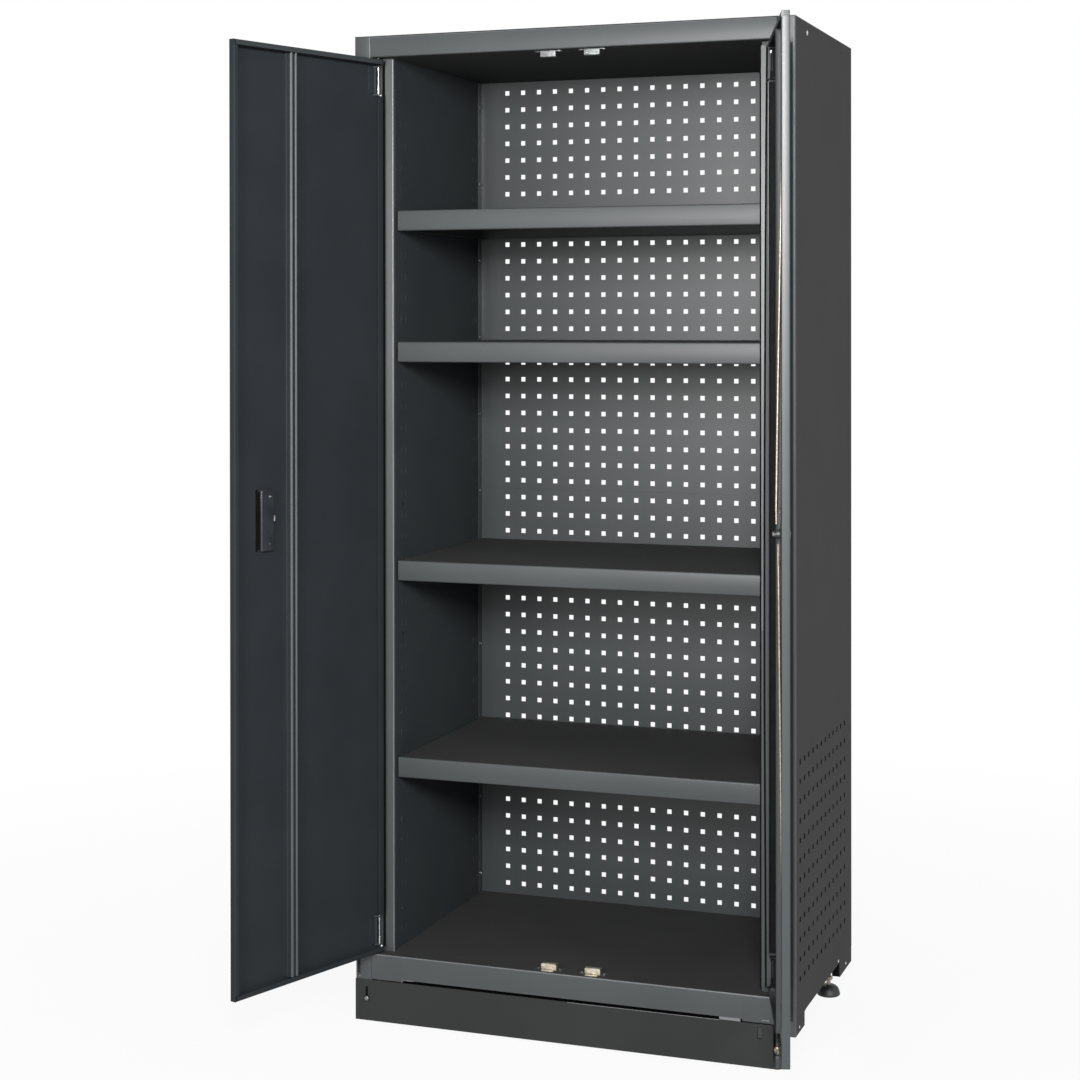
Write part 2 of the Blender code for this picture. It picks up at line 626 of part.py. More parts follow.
def build_lock(side, door, panel):
    lock_x = -side * LOCK_OFFSET
    lock = add_empty("lock_axis", door, (lock_x, 0.0, LOCK_LEVEL))
    hole = bmesh.new()
    radius = LOCK_BARREL + GAP
    add_turned(hole, ((radius, -SHEET - HINGE_SKIN), (radius, 2 * SHEET - HINGE_SKIN)), "y", (lock_x, LOCK_LEVEL))
    for level in (door_bottom, door_top):
        add_turned(hole, ((ROD_HOLE, level - 3 * SHEET), (ROD_HOLE, level + 3 * SHEET)),
                   "z", (lock_x, ROD_FAR - HINGE_SKIN))
    combine(panel, hole, "cutter_lock_holes")

    # Barrel with its rosette outside; the plug with its cam, and the nut, turn inside it.
    bore = LOCK_PLUG + GAP
    barrel_end = ROD_NEAR - CAM_PLATE / 2 - GAP
    steps = ((bore, -LOCK_PROUD), (LOCK_ROSETTE, -LOCK_PROUD), (LOCK_ROSETTE, -GAP),
             (LOCK_BARREL, -GAP), (LOCK_BARREL, barrel_end), (bore, barrel_end))
    bm = bmesh.new()
    add_turned(bm, [(r, n - HINGE_SKIN) for r, n in steps], "y", bored=True)
    add_object("lock_barrel", bm, zinc, lock, smooth=True)

    cam_low = barrel_end + GAP
    cam_high = cam_low + CAM_PLATE
    half = CAM_WIDTH / 2
    arm = CAM_HALF - half
    ends = [(arm + half * cos(a), half * sin(a)) for a in [-pi / 2 + pi * i / 6 for i in range(7)]]
    bm = bmesh.new()
    add_prism(bm, ends + [(-a, -b) for a, b in ends], "y", door_depth((cam_low, cam_high)))
    spindle = add_object("lock_spindle", bm, yellow_zinc, lock)
    plug = bmesh.new()
    steps = ((LOCK_PLUG * 0.9, -LOCK_PROUD - SHEET), (LOCK_PLUG, -LOCK_PROUD), (LOCK_PLUG, cam_low + CAM_PLATE / 2))
    add_turned(plug, [(r, n - HINGE_SKIN) for r, n in steps], "y")
    combine(spindle, plug, "lock_plug", "UNION")
    bm = bmesh.new()
    steps = ((CAM_NUT, cam_high + GAP), (CAM_NUT, cam_high + GAP + CAM_NUT_HEIGHT))
    add_turned(bm, [(r, n - HINGE_SKIN) for r, n in steps], "y", sides=6)
    add_object("lock_cam_nut", bm, zinc, lock)

    # Rods lean outwards from the cam, through a guide each, to holes in the door's ends.
    near = CAM_HALF + ROD_INNER_GAP
    for name, up, end in (("upper", 1, door_top - ROD_OUTER_GAP), ("lower", -1, door_bottom + ROD_OUTER_GAP)):
        start = LOCK_LEVEL + up * near
        rise = abs(end - start)
        lean = atan2(ROD_NEAR - ROD_FAR, rise)
        rod_axis = add_empty(f"{name}_rod_axis", door, (lock_x, ROD_NEAR - HINGE_SKIN, start))
        rod_axis.rotation_euler = (lean if up > 0 else pi - lean, 0.0, 0.0)
        bm = bmesh.new()
        add_turned(bm, ((ROD_RADIUS, 0.0), (ROD_RADIUS, hypot(rise, ROD_NEAR - ROD_FAR))), "z", sides=12)
        add_object(f"{name}_lock_rod", bm, yellow_zinc, rod_axis, smooth=True)
        depth = ROD_FAR + (ROD_NEAR - ROD_FAR) * GUIDE_INSET / rise
        bm = bmesh.new()
        add_guide(bm, lock_x, depth, end - up * GUIDE_INSET)
        add_object(f"{name}_rod_guide", bm, zinc, door)


def add_guide(bm, x, depth, level):
    inner = ROD_RADIUS + GAP
    outer = inner + GUIDE_WALL
    foot = SHEET + GAP
    roof = depth + inner
    arch = [(-outer, foot), (-inner, foot), (-inner, roof), (inner, roof), (inner, foot),
            (outer, foot), (outer, roof + GUIDE_WALL), (-outer, roof + GUIDE_WALL)]
    outline = [(x + a, b - HINGE_SKIN) for a, b in arch]
    add_prism(bm, outline, "z", (level - GUIDE_HEIGHT / 2, level + GUIDE_HEIGHT / 2))


def centre_on_floor():
    # Puts the origin under the middle of everything, with the doors as they stand open.
    bpy.context.view_layer.update()
    places = []
    for item in bpy.data.objects:
        if item.type == "MESH" and not item.hide_render:
            places += [item.matrix_world @ vertex.co for vertex in item.data.vertices]
    for i in (0, 1):
        values = [place[i] for place in places]
        cabinet.location[i] = -(min(values) + max(values)) / 2


build_sides()
build_rails()
build_back()
build_shelves()
build_catches()
build_base()
build_door("left", -1, LEFT_OPEN)
build_lock(1, *build_door("right", 1, RIGHT_OPEN))
centre_on_floor()
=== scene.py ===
import json
from math import cos, pi, radians, sin, tan, tau
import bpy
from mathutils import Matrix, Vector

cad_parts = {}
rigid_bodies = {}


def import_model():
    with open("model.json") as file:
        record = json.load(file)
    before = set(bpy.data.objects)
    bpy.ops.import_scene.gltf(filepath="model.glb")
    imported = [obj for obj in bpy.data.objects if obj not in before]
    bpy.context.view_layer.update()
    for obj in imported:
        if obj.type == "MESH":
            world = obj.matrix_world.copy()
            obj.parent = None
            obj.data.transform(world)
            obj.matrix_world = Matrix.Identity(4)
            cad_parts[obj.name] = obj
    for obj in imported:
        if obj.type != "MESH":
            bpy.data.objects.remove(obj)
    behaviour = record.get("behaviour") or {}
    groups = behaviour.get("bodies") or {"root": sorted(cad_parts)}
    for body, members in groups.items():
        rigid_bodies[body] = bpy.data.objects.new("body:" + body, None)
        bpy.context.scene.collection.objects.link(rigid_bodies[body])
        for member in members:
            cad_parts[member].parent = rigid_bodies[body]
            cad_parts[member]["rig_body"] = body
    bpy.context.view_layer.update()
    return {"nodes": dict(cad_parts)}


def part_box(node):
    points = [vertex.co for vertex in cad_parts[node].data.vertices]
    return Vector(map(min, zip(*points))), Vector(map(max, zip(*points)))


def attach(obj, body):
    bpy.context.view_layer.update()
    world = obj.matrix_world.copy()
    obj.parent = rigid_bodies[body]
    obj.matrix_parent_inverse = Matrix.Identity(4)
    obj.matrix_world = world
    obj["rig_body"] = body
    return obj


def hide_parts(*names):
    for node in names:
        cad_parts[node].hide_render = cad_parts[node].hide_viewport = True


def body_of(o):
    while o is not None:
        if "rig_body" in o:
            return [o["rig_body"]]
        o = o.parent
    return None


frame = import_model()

from types import SimpleNamespace

import bmesh
import bpy
from mathutils import Matrix, Vector

scene = bpy.context.scene
coverLow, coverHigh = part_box("top_cover")
home = Vector(((coverLow.x + coverHigh.x) / 2, coverLow.y, 0.0))  # front plane, middle of the carcass
sheet = 0.0012
gap = 0.0003  # between pieces that meet
seat = sheet + gap  # where a piece lies on the inside of a door's sheet
hair = 0.0001  # between faces that would otherwise coincide
facing = 0.9  # a face looks along an axis if its normal has more than this share of it
sloping = 0.25  # a bend's face has more than this share of two axes
sides = (("left", -1), ("right", 1))


def named(sizes):
    # lets the code read a dictionary of sizes as piece.width
    return SimpleNamespace(**sizes)


# Colours and nodes
def paint(hexCode):
    parts = [int(hexCode[i:i + 2], 16) / 255 for i in (1, 3, 5)]
    return tuple(c / 12.92 if c <= 0.04045 else ((c + 0.055) / 1.055) ** 2.4 for c in parts) + (1.0,)


def addNode(tree, kind, inputs=None, **settings):
    node = tree.nodes.new(kind)
    for key, value in settings.items():
        setattr(node, key, value)
    for key, value in (inputs or {}).items():
        if isinstance(value, bpy.types.NodeSocket):
            tree.links.new(value, node.inputs[key])
        else:
            node.inputs[key].default_value = value
    return node


def newFinish(name):
    material = bpy.data.materials.new(name)
    material.use_nodes = True
    tree = material.node_tree
    shader = tree.nodes["Principled BSDF"]
    place = addNode(tree, "ShaderNodeTexCoord").outputs["Object"]
    return material, tree, shader, place


# Kinds of surface, in mm: grain is the relief, cloud the slow change of tone. A powder coat's real grain
# is about 0.5 mm and a moulding's about 0.3 mm. Both are drawn coarser, since finer would vanish.
powder = dict(grain=2.8, grainDetail=2.0, depth=0.12, strength=0.5, cloud=160.0, cloudDetail=4.0,
              polish=(-0.07, 0.07), metallic=0.0)
plating = dict(grain=1.6, grainDetail=3.0, depth=0.03, strength=0.25, cloud=7.0, cloudDetail=3.0,
               polish=(-0.08, 0.10), metallic=1.0)
moulding = dict(grain=2.0, grainDetail=2.0, depth=0.08, strength=0.3, cloud=24.0, cloudDetail=3.0,
                polish=(-0.06, 0.08), metallic=0.0)
cloudStops = (0.36, 0.64)


def makeFinish(name, kind, tones, roughness, ior=1.5, **changes):
    k = named({**kind, **changes})
    material, tree, shader, place = newFinish(name)
    grain = addNode(tree, "ShaderNodeTexNoise", {"Vector": place, "Scale": 1000 / k.grain,
                                                 "Detail": k.grainDetail}).outputs["Fac"]
    bump = addNode(tree, "ShaderNodeBump", {"Height": grain, "Strength": k.strength,
                                            "Distance": k.depth / 1000})
    cloud = addNode(tree, "ShaderNodeTexNoise", {"Vector": place, "Scale": 1000 / k.cloud,
                                                 "Detail": k.cloudDetail})
    ramp = addNode(tree, "ShaderNodeValToRGB", {"Fac": cloud.outputs["Fac"]})
    for stop, position, tone in zip(ramp.color_ramp.elements, cloudStops, tones):
        stop.position = position
        stop.color = paint(tone)
    smoother, rougher = [roughness + change for change in k.polish]
    rough = addNode(tree, "ShaderNodeMapRange", {"Value": grain, "To Min": smoother, "To Max": rougher})
    tree.links.new(ramp.outputs["Color"], shader.inputs["Base Color"])
    tree.links.new(rough.outputs["Result"], shader.inputs["Roughness"])
    tree.links.new(bump.outputs["Normal"], shader.inputs["Normal"])
    shader.inputs["IOR"].default_value = ior
    shader.inputs["Metallic"].default_value = k.metallic
    return material


# Polyester powder coat, sprayed and baked: a satin skin whose fine pebble breaks up reflections
coat = makeFinish("anthracitePowderCoat", powder, ("#343839", "#373a3b"), 0.37)
# The same coat on roll-formed strip: it lies flatter and gives a broad even sheen
smoothCoat = makeFinish("smoothAnthraciteCoat", powder, ("#343839", "#373a3b"), 0.55, strength=0.1)
# Painted highlight: a paler coat laid on bends and edges as a line of light
highlightCoat = makeFinish("paintedHighlightEdgeCoat", powder, ("#5c5f60", "#6a6c6e"), 0.32, strength=0.2)
# Painted highlight: a lighter grey coat that still shines, for the upper part of the right post's lip where
# it catches the light
highlightLipCoat = makeFinish("paintedHighlightLipCoat", powder, ("#4d5051", "#535556"), 0.32, strength=0.2)
# Painted shade: the coat darker and bluer on the inner walls, which stand in shade; dull, with hardly a
# highlight
shadedWallCoat = makeFinish("wallShadeAnthraciteCoat", powder, ("#2e3235", "#313537"), 0.70, 1.25)
# Coat on the kick plate: dull neutral grey without a highlight
kickCoat = makeFinish("kickAnthraciteCoat", powder, ("#292a2a", "#2b2c2c"), 0.80, 1.25)
# Textured coat on flats and side panels: matt, warm and even
matCoat = makeFinish("textureAnthraciteCoat", powder, ("#2e2f2e", "#313231"), 0.80, 1.32)
# Painted shade: the satin coat made deep blue-grey, with a weak reflection, for faces in the doors' shade
# and the shadows the doors cast
shadedDoorCoat = makeFinish("doorShadeAnthraciteCoat", powder, ("#25292c", "#282c2f"), 0.55, 1.16)
# Electroplated zinc on steel: cool bright metal with a faint cloudy spangle
brightZinc = makeFinish("brightZincPlate", plating, ("#b4b8ba", "#d4d7d8"), 0.32)
# Zinc plate that has lost its brightness: mid grey, soft glints
dullZinc = makeFinish("dullZincPlate", plating, ("#6e7071", "#8a8c8b"), 0.46)
# Pale passivated zinc: cream over bright metal
paleZinc = makeFinish("palePassivatedZinc", plating, ("#b5ab9b", "#d2cab9"), 0.42)
# Warm passivated zinc: the straw-coloured line of the rods
rodZinc = makeFinish("warmPassivatedZinc", plating, ("#968a7b", "#b3a797"), 0.45)
# Tarnished zinc plate: dark metal, nearly as dark as the door
agedZinc = makeFinish("agedZincPlate", plating, ("#505150", "#666766"), 0.50)
# Yellow chromate on zinc: a mottled, brownish straw tint
yellowZinc = makeFinish("yellowChromateZinc", plating, ("#7d7264", "#a89c8c"), 0.40)
# Injection-moulded ABS: near black, spark-eroded grain, a clear gloss on its edges
blackAbs = makeFinish("mouldedBlackAbs", moulding, ("#26282c", "#2e3034"), 0.20, grain=1.4)
# Moulded rubber: black with a soft grey sheen
blackRubber = makeFinish("mouldedBlackRubber", moulding, ("#1c1e20", "#25282b"), 0.50)
# Painted shade: dry black with barely a glint, for steel parts that stand in shadow
shadeDarkSteel = makeFinish("paintedShadeDarkSteel", moulding, ("#0e0f10", "#141516"), 0.60, 1.2)
# Painted shade: near black for gaps, holes, hollows and the shadows beside edges; takes in nearly all light
shadeBlack = makeFinish("paintedShadeBlack", moulding, ("#050506", "#0a0a0b"), 0.85, 1.2)

# Each slot's finishes, the usual one first
slots = {"anthracite_powder_coat": (coat, smoothCoat, highlightCoat, highlightLipCoat, shadedWallCoat, kickCoat, matCoat,
                                    shadedDoorCoat, shadeDarkSteel),
         "bright_zinc": (brightZinc, dullZinc, agedZinc), "yellow_zinc": (yellowZinc, paleZinc, rodZinc),
         "black_plastic": (blackAbs,), "black_rubber": (blackRubber, shadeBlack)}


# Mesh building blocks. Those that begin with add put closed shells into a bmesh.
def asIs(a, b, c):
    return a, b, c


def onAxis(axis, a, b, along):
    return {"x": (along, a, b), "y": (a, along, b), "z": (a, b, along)}[axis]


def mirrored(side, span):
    return [side * x for x in span]


def around(middle, half):
    return [middle - half, middle + half]


def ring(radius, count, turn=0.0):
    angles = [tau * i / count + turn for i in range(count)]
    return [(radius * cos(angle), radius * sin(angle)) for angle in angles]


def roundCorners(points, radii, steps=4):
    turned = [points[0]]
    for i in range(1, len(points) - 1):
        corner = points[i]
        back = (points[i - 1] - corner).normalized()
        ahead = (points[i + 1] - corner).normalized()
        half = back.angle(ahead) / 2
        centre = corner + (back + ahead).normalized() * (radii[i] / sin(half))
        start = corner + back * (radii[i] / tan(half)) - centre
        end = corner + ahead * (radii[i] / tan(half)) - centre
        sweep = start.angle(end)
        for k in range(steps + 1):
            t = k / steps
            turned.append(centre + (start * sin((1 - t) * sweep) + end * sin(t * sweep)) / sin(sweep))
    return turned + [points[-1]]


def bentStrip(path, thickness, bend):
    # both faces of a bent sheet; the thickness lies left of the path and every bend has an inside radius
    points = [Vector(point) for point in path]
    runs = [(b - a).normalized() for a, b in zip(points, points[1:])]
    normals = [Vector((-run.y, run.x)) for run in runs]
    other, radii, otherRadii = [], [], []
    for i, point in enumerate(points):
        before, after = normals[max(i - 1, 0)], normals[min(i, len(normals) - 1)]
        other.append(point + (before + after) / (1 + before.dot(after)) * thickness)
        outside = runs[max(i - 1, 0)].cross(runs[min(i, len(runs) - 1)]) > 0
        radii.append(bend + thickness if outside else bend)
        otherRadii.append(bend if outside else bend + thickness)
    return roundCorners(points, radii), roundCorners(other, otherRadii)


def addFold(bm, path, span, place, bend, thickness=sheet):
    first, second = bentStrip(path, thickness, bend)
    rows = []
    for along in span:
        rows.append(([bm.verts.new(place(p.x, p.y, along)) for p in first],
                     [bm.verts.new(place(p.x, p.y, along)) for p in second]))
    (a, b), (c, d) = rows
    for i in range(len(first) - 1):
        bm.faces.new((a[i], a[i + 1], c[i + 1], c[i]))
        bm.faces.new((b[i], d[i], d[i + 1], b[i + 1]))
        bm.faces.new((a[i], b[i], b[i + 1], a[i + 1]))
        bm.faces.new((c[i], c[i + 1], d[i + 1], d[i]))
    for i in (0, len(first) - 1):
        bm.faces.new((a[i], c[i], d[i], b[i]))


def folded(path, span, place, bend, thickness=sheet):
    bm = bmesh.new()
    addFold(bm, path, span, place, bend, thickness)
    return bm


def addBlock(bm, x, y, z, place=asIs):
    corners = [bm.verts.new(place(a, b, c)) for c in z for b in y for a in x]
    for face in ((0, 1, 3, 2), (4, 5, 7, 6), (0, 1, 5, 4), (2, 3, 7, 6), (0, 2, 6, 4), (1, 3, 7, 5)):
        bm.faces.new([corners[i] for i in face])


def blocks(*boxes, place=asIs):
    bm = bmesh.new()
    for box in boxes:
        addBlock(bm, *box, place)
    return bm


def addCells(bm, uLines, vLines, w, place, keep, rounds=None):
    # a sheet on a grid of lines with some cells left open; a round cell is filled up to a circle
    rounds = rounds or {}
    corners = {}

    def corner(i, j, k):
        if (i, j, k) not in corners:
            corners[(i, j, k)] = bm.verts.new(place(uLines[i], vLines[j], w[k]))
        return corners[(i, j, k)]

    def solid(i, j):
        return 0 <= i < len(uLines) - 1 and 0 <= j < len(vLines) - 1 and keep(i, j)

    for i in range(len(uLines) - 1):
        for j in range(len(vLines) - 1):
            if not solid(i, j):
                continue
            square = ((i, j), (i + 1, j), (i + 1, j + 1), (i, j + 1))
            beside = ((i, j - 1), (i + 1, j), (i, j + 1), (i - 1, j))
            if (i, j) in rounds:
                addRoundCell(bm, [[corner(*at, k) for at in square] for k in (0, 1)], rounds[(i, j)],
                             ((uLines[i] + uLines[i + 1]) / 2, (vLines[j] + vLines[j + 1]) / 2), w, place)
            else:
                bm.faces.new([corner(*at, 0) for at in square])
                bm.faces.new([corner(*at, 1) for at in reversed(square)])
            for side in range(4):
                if not solid(*beside[side]):
                    at, to = square[side], square[(side + 1) % 4]
                    bm.faces.new((corner(*to, 0), corner(*at, 0), corner(*at, 1), corner(*to, 1)))


def addRoundCell(bm, squares, radius, centre, w, place, quarter=6):
    count = 4 * quarter
    circle = ring(radius, count, pi * 1.25)  # begins beside the square's first corner
    rings = []
    for k in (0, 1):
        rings.append([bm.verts.new(place(centre[0] + a, centre[1] + b, w[k])) for a, b in circle])
        for side in range(4):
            arc = [rings[k][(side * quarter + i) % count] for i in range(quarter + 1)]
            bm.faces.new([squares[k][side], squares[k][(side + 1) % 4]] + arc[::-1])
    for i in range(count):
        j = (i + 1) % count
        bm.faces.new((rings[0][i], rings[0][j], rings[1][j], rings[1][i]))


def addRings(bm, rings, closed=False):
    loops = [[bm.verts.new(point) for point in points] for points in rings]
    if closed:
        loops.append(loops[0])
    else:
        bm.faces.new(loops[0])
        bm.faces.new(loops[-1])
    for low, high in zip(loops, loops[1:]):
        for i in range(len(low)):
            j = (i + 1) % len(low)
            bm.faces.new((low[i], low[j], high[j], high[i]))


def addTurned(bm, profile, axis, centre, count=20, closed=False):
    addRings(bm, [[onAxis(axis, centre[0] + a, centre[1] + b, along) for a, b in ring(radius, count)]
                  for radius, along in profile], closed)


def roundedRectangle(halfWidth, halfHeight, radius, quarter=5):
    outline = []
    for k, (sx, sy) in enumerate(((1, 1), (-1, 1), (-1, -1), (1, -1))):
        for i in range(quarter + 1):
            angle = pi / 2 * (k + i / quarter)
            outline.append((sx * (halfWidth - radius) + radius * cos(angle),
                            sy * (halfHeight - radius) + radius * sin(angle)))
    return outline


# A low domed screw head with a cross recess. Rows and limits are shares of the radius and the height.
head = named(dict(
    rows=((1.0, 0.0), (1.0, 0.35), (0.86, 0.72), (0.62, 0.92), (0.58, 0.94), (0.20, 1.0), (0.06, 1.0)),
    armAngle=0.20, armReach=0.60, hub=0.20, recess=0.30))


def addScrew(bm, centre, outward, radius, height, count=24):
    outward = Vector(outward).normalized()
    across = outward.orthogonal().normalized()
    over = outward.cross(across)
    loops = []
    for share, rise in head.rows:
        loop = []
        for i in range(count):
            angle = tau * i / count
            inArm = min(abs(angle - k * pi / 2) for k in range(5)) < head.armAngle
            if share <= head.hub or (share < head.armReach and inArm):
                level = head.recess * height
            else:
                level = rise * height
            loop.append(Vector(centre) + across * (radius * share * cos(angle))
                        + over * (radius * share * sin(angle)) + outward * level)
        loops.append(loop)
    addRings(bm, loops)


def addThread(bm, centre, levels, radius, pitch, depth, count=20):
    # a rolled thread: one column of ridges that climbs a pitch in each turn
    turns = int((levels[1] - levels[0]) / pitch)
    shape = ((0.0, radius - depth), (0.35, radius), (0.65, radius))
    columns = []
    for i in range(count + 1):
        angle = tau * i / count
        column = []
        for k in range(turns * len(shape)):
            share, r = shape[k % len(shape)]
            z = levels[0] + pitch * (k // len(shape) + share + i / count)
            z = min(max(z, levels[0]), levels[1])
            column.append(bm.verts.new((centre[0] + r * cos(angle), centre[1] + r * sin(angle), z)))
        columns.append(column)
    for left, right in zip(columns, columns[1:]):
        for k in range(len(left) - 1):
            bm.faces.new((left[k], right[k], right[k + 1], left[k + 1]))
    addTurned(bm, [(radius - depth, level) for level in levels], "z", centre, count)


# Pieces
def makePiece(name, bm, finish, body="carcass", nodes=(), stand=None, smooth=38, others=()):
    # others: further finishes, each with the test that tells which faces take it
    bmesh.ops.recalc_face_normals(bm, faces=bm.faces)
    mesh = bpy.data.meshes.new(name)
    bm.to_mesh(mesh)
    bm.free()
    mesh.shade_smooth()
    mesh.set_sharp_from_angle(angle=radians(smooth))
    mesh.materials.append(finish)
    for number, (extra, test) in enumerate(others, 1):
        mesh.materials.append(extra)
        for face in mesh.polygons:
            if test(face):
                face.material_index = number
    piece = bpy.data.objects.new(name, mesh)
    scene.collection.objects.link(piece)
    piece.matrix_world = stand or Matrix.Translation(home)
    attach(piece, body)
    if nodes:
        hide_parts(*nodes)
    return piece


def softenEdges(piece, width, segments=2, angle=30):
    bevel = piece.modifiers.new("softEdges", "BEVEL")
    bevel.width = width
    bevel.segments = segments
    bevel.limit_method = "ANGLE"
    bevel.angle_limit = radians(angle)
    bevel.harden_normals = True


def dressNode(node, name, finish, width):
    # the node's own shape with its edges broken
    source = frame["nodes"][node]
    bm = bmesh.new()
    bm.from_mesh(source.data)
    bmesh.ops.remove_doubles(bm, verts=bm.verts, dist=1e-6)
    bmesh.ops.dissolve_limit(bm, angle_limit=radians(1.0), verts=bm.verts, edges=bm.edges)
    softenEdges(makePiece(name, bm, finish, body_of(source)[0], (node,), Matrix.Identity(4)), width)


def isLevel(face):
    return abs(face.normal.z) > facing


def acrossFront(a, b, x):
    return x, a, b


# Folded posts of the carcass
carcass = named(dict(
    halfWidth=0.460, depth=0.535, top=2.0185, innerHalf=0.387, postEdge=0.4245, rabbet=0.030,
    tabLevel=0.070, clear=0.098, ceiling=1.976, floor=0.142, bend=0.0016, seam=0.005, fold=0.0095,
    seamX=(0.4497, 0.4553), seamZ=(0.100, 1.968), coverEdge=0.0005))


def makePosts():
    c = carcass
    front = [(c.innerHalf, c.rabbet + c.fold), (c.innerHalf, c.rabbet), (c.postEdge, c.rabbet),
             (c.postEdge, 0.0), (c.halfWidth, 0.0), (c.halfWidth, c.seam)]
    rear = [(c.halfWidth, c.depth - c.seam), (c.halfWidth, c.depth), (c.innerHalf, c.depth)]
    for label, side in sides:
        def upright(a, b, z):
            return side * a, b, z

        def innerBend(face):
            deep = face.center.y > c.rabbet - hair
            return deep and face.normal.y < -sloping and -side * face.normal.x > sloping

        # the bend at the inner edge of each stop strip takes a painted highlight
        makePiece(f"frontPost_{label}", folded(front, (c.tabLevel, c.top), upright, c.bend), coat,
                  nodes=(f"front_post_{label}",), others=((highlightCoat, innerBend),))
        # a painted shadow of the open door: a dark strip down each post's front
        makePiece(f"postShadow_{label}", blocks((mirrored(side, c.seamX), (-gap, -hair), c.seamZ)), shadedDoorCoat)
        makePiece(f"rearPost_{label}", folded(rear, (c.clear, c.top), upright, c.bend), coat,
                  nodes=(f"rear_post_{label}",))


# Side panels with a field of square holes low down
sidePanel = named(dict(
    frontTab=0.078, rearTab=0.410, rearTabLevel=0.066, pitch=0.038, hole=0.010, firstColumn=0.040,
    lowestRow=0.171, holes=12, margin=0.001))


def makeSidePanels():
    c, p = carcass, sidePanel
    columns, rows = [[line for k in range(p.holes) for line in around(first + k * p.pitch, p.hole / 2)]
                     for first in (p.firstColumn, p.lowestRow)]
    y = sorted(columns + [c.seam, p.frontTab, p.rearTab, c.depth - c.seam])
    z = sorted(rows + [c.tabLevel, p.rearTabLevel, c.clear, c.top])

    def onHole(value, first):
        return any(abs(value - first - k * p.pitch) < p.hole / 2 for k in range(p.holes))

    def keep(i, j):
        across, up = (y[i] + y[i + 1]) / 2, (z[j] + z[j + 1]) / 2
        if up < c.clear:
            return (across < p.frontTab and up > c.tabLevel) or across > p.rearTab
        return not (onHole(across, p.firstColumn) and onHole(up, p.lowestRow))

    def inHole(face):
        inField = (columns[0] - p.margin < face.center.y < columns[-1] + p.margin
                   and rows[0] - p.margin < face.center.z < rows[-1] + p.margin)
        return inField and abs(face.normal.x) < facing

    for label, side in sides:
        bm = bmesh.new()
        addCells(bm, y, z, (c.halfWidth - sheet, c.halfWidth), lambda u, v, w: (side * w, u, v), keep)
        # the sides of the holes are painted black as shade
        makePiece(f"sidePanel_{label}", bm, matCoat, nodes=(f"side_panel_{label}",),
                  others=((shadeBlack, inHole),))


# Inner walls with the slots that the shelves hook into
innerWall = named(dict(
    slotColumns=(0.069, 0.090, 0.472, 0.491), slotWidth=0.0034, slotHeight=0.012, pitch=0.045, lowest=4,
    highest=41, roundColumn=0.0795, roundRows=(1.0575, 0.7875), roundRadius=0.004, front=0.0398))


def makeInnerWalls():
    c, w = carcass, innerWall
    half, tall = w.slotWidth / 2, w.slotHeight / 2
    levels = [k * w.pitch for k in range(w.lowest, w.highest + 1)]
    slotLines = [line for column in w.slotColumns for line in around(column, half)]
    y = sorted([w.front, c.depth - sheet - gap] + slotLines)
    z = sorted([c.clear, c.top] + [line for level in levels for line in around(level, tall)])

    def keep(i, j):
        across, up = (y[i] + y[i + 1]) / 2, (z[j] + z[j + 1]) / 2
        inColumn = any(abs(across - column) < half for column in w.slotColumns)
        return not (inColumn and any(abs(up - level) < tall for level in levels))

    rounds = {(i, j): w.roundRadius for i in range(len(y) - 1) for j in range(len(z) - 1)
              for row in w.roundRows if y[i] < w.roundColumn < y[i + 1] and z[j] < row < z[j + 1]}
    for label, side in sides:
        bm = bmesh.new()
        addCells(bm, y, z, (c.innerHalf, c.innerHalf + sheet), lambda u, v, t: (side * t, u, v), keep,
                 rounds)
        # the walls take the painted shade coat, and their outer faces, seen through slots and holes, black
        # painted shade
        makePiece(f"slottedWall_{label}", bm, shadedWallCoat, nodes=(f"inner_wall_{label}",),
                  others=((shadeBlack, lambda face: side * face.normal.x > facing),))


# Rails across the front, each with a hole for its lock rod; the bottom one has a long finger slot
rails = named(dict(
    half=0.4242, lip=0.0297, strip=0.003, fold=0.020, bottom=0.089, slotHalf=0.355, slotHeight=0.0055,
    rodX=0.1275, rodY=0.008, rodHole=0.0045, rodCell=0.005))


def makeRails():
    c, r = carcass, rails
    x = [-r.half, *around(r.rodX, r.rodCell), r.half]
    lipLines = [r.strip, 2 * r.rodY - r.strip, r.lip]
    top = [(r.fold, c.top), (0.0, c.top), (0.0, c.ceiling), (r.strip, c.ceiling)]
    bottom = [(r.strip, c.floor), (0.0, c.floor), (0.0, r.bottom), (r.fold, r.bottom)]
    overSlot = [*bottom[:2], (0.0, r.bottom + r.slotHeight)]
    bottomFolds = ((bottom, (-r.half, -r.slotHalf)), (bottom, (r.slotHalf, r.half)),
                   (overSlot, (-r.slotHalf, r.slotHalf)))

    def upperBend(face):
        return face.normal.z > sloping and face.normal.y < -sloping

    for name, node, level, inward, folds in (
            ("topRail", "top_rail", c.ceiling, 1, ((top, (-r.half, r.half)),)),
            ("bottomRail", "bottom_rail", c.floor, -1, bottomFolds)):
        bm = bmesh.new()
        addCells(bm, x, lipLines, (level, level + inward * sheet), asIs, lambda i, j: True,
                 {(1, 0): r.rodHole})
        for path, span in folds:
            addFold(bm, path, span, acrossFront, c.bend)
        # the upper bends take a painted highlight
        makePiece(name, bm, coat, nodes=(node,), others=((matCoat, isLevel), (highlightCoat, upperBend)))


# Shelves: pans folded down on all four sides, with hooks for the wall slots
shelf = named(dict(
    half=0.3825, front=0.042, rear=0.519, lip=0.042, hem=0.012, bend=0.0018, strip=0.006,
    hookRows=(0.080, 0.481), hookWidth=0.021, hookHeight=0.018, hookDrop=0.012, hookBend=0.0006,
    hookSheet=0.001, levels=(1.665, 1.395, 0.945, 0.540)))


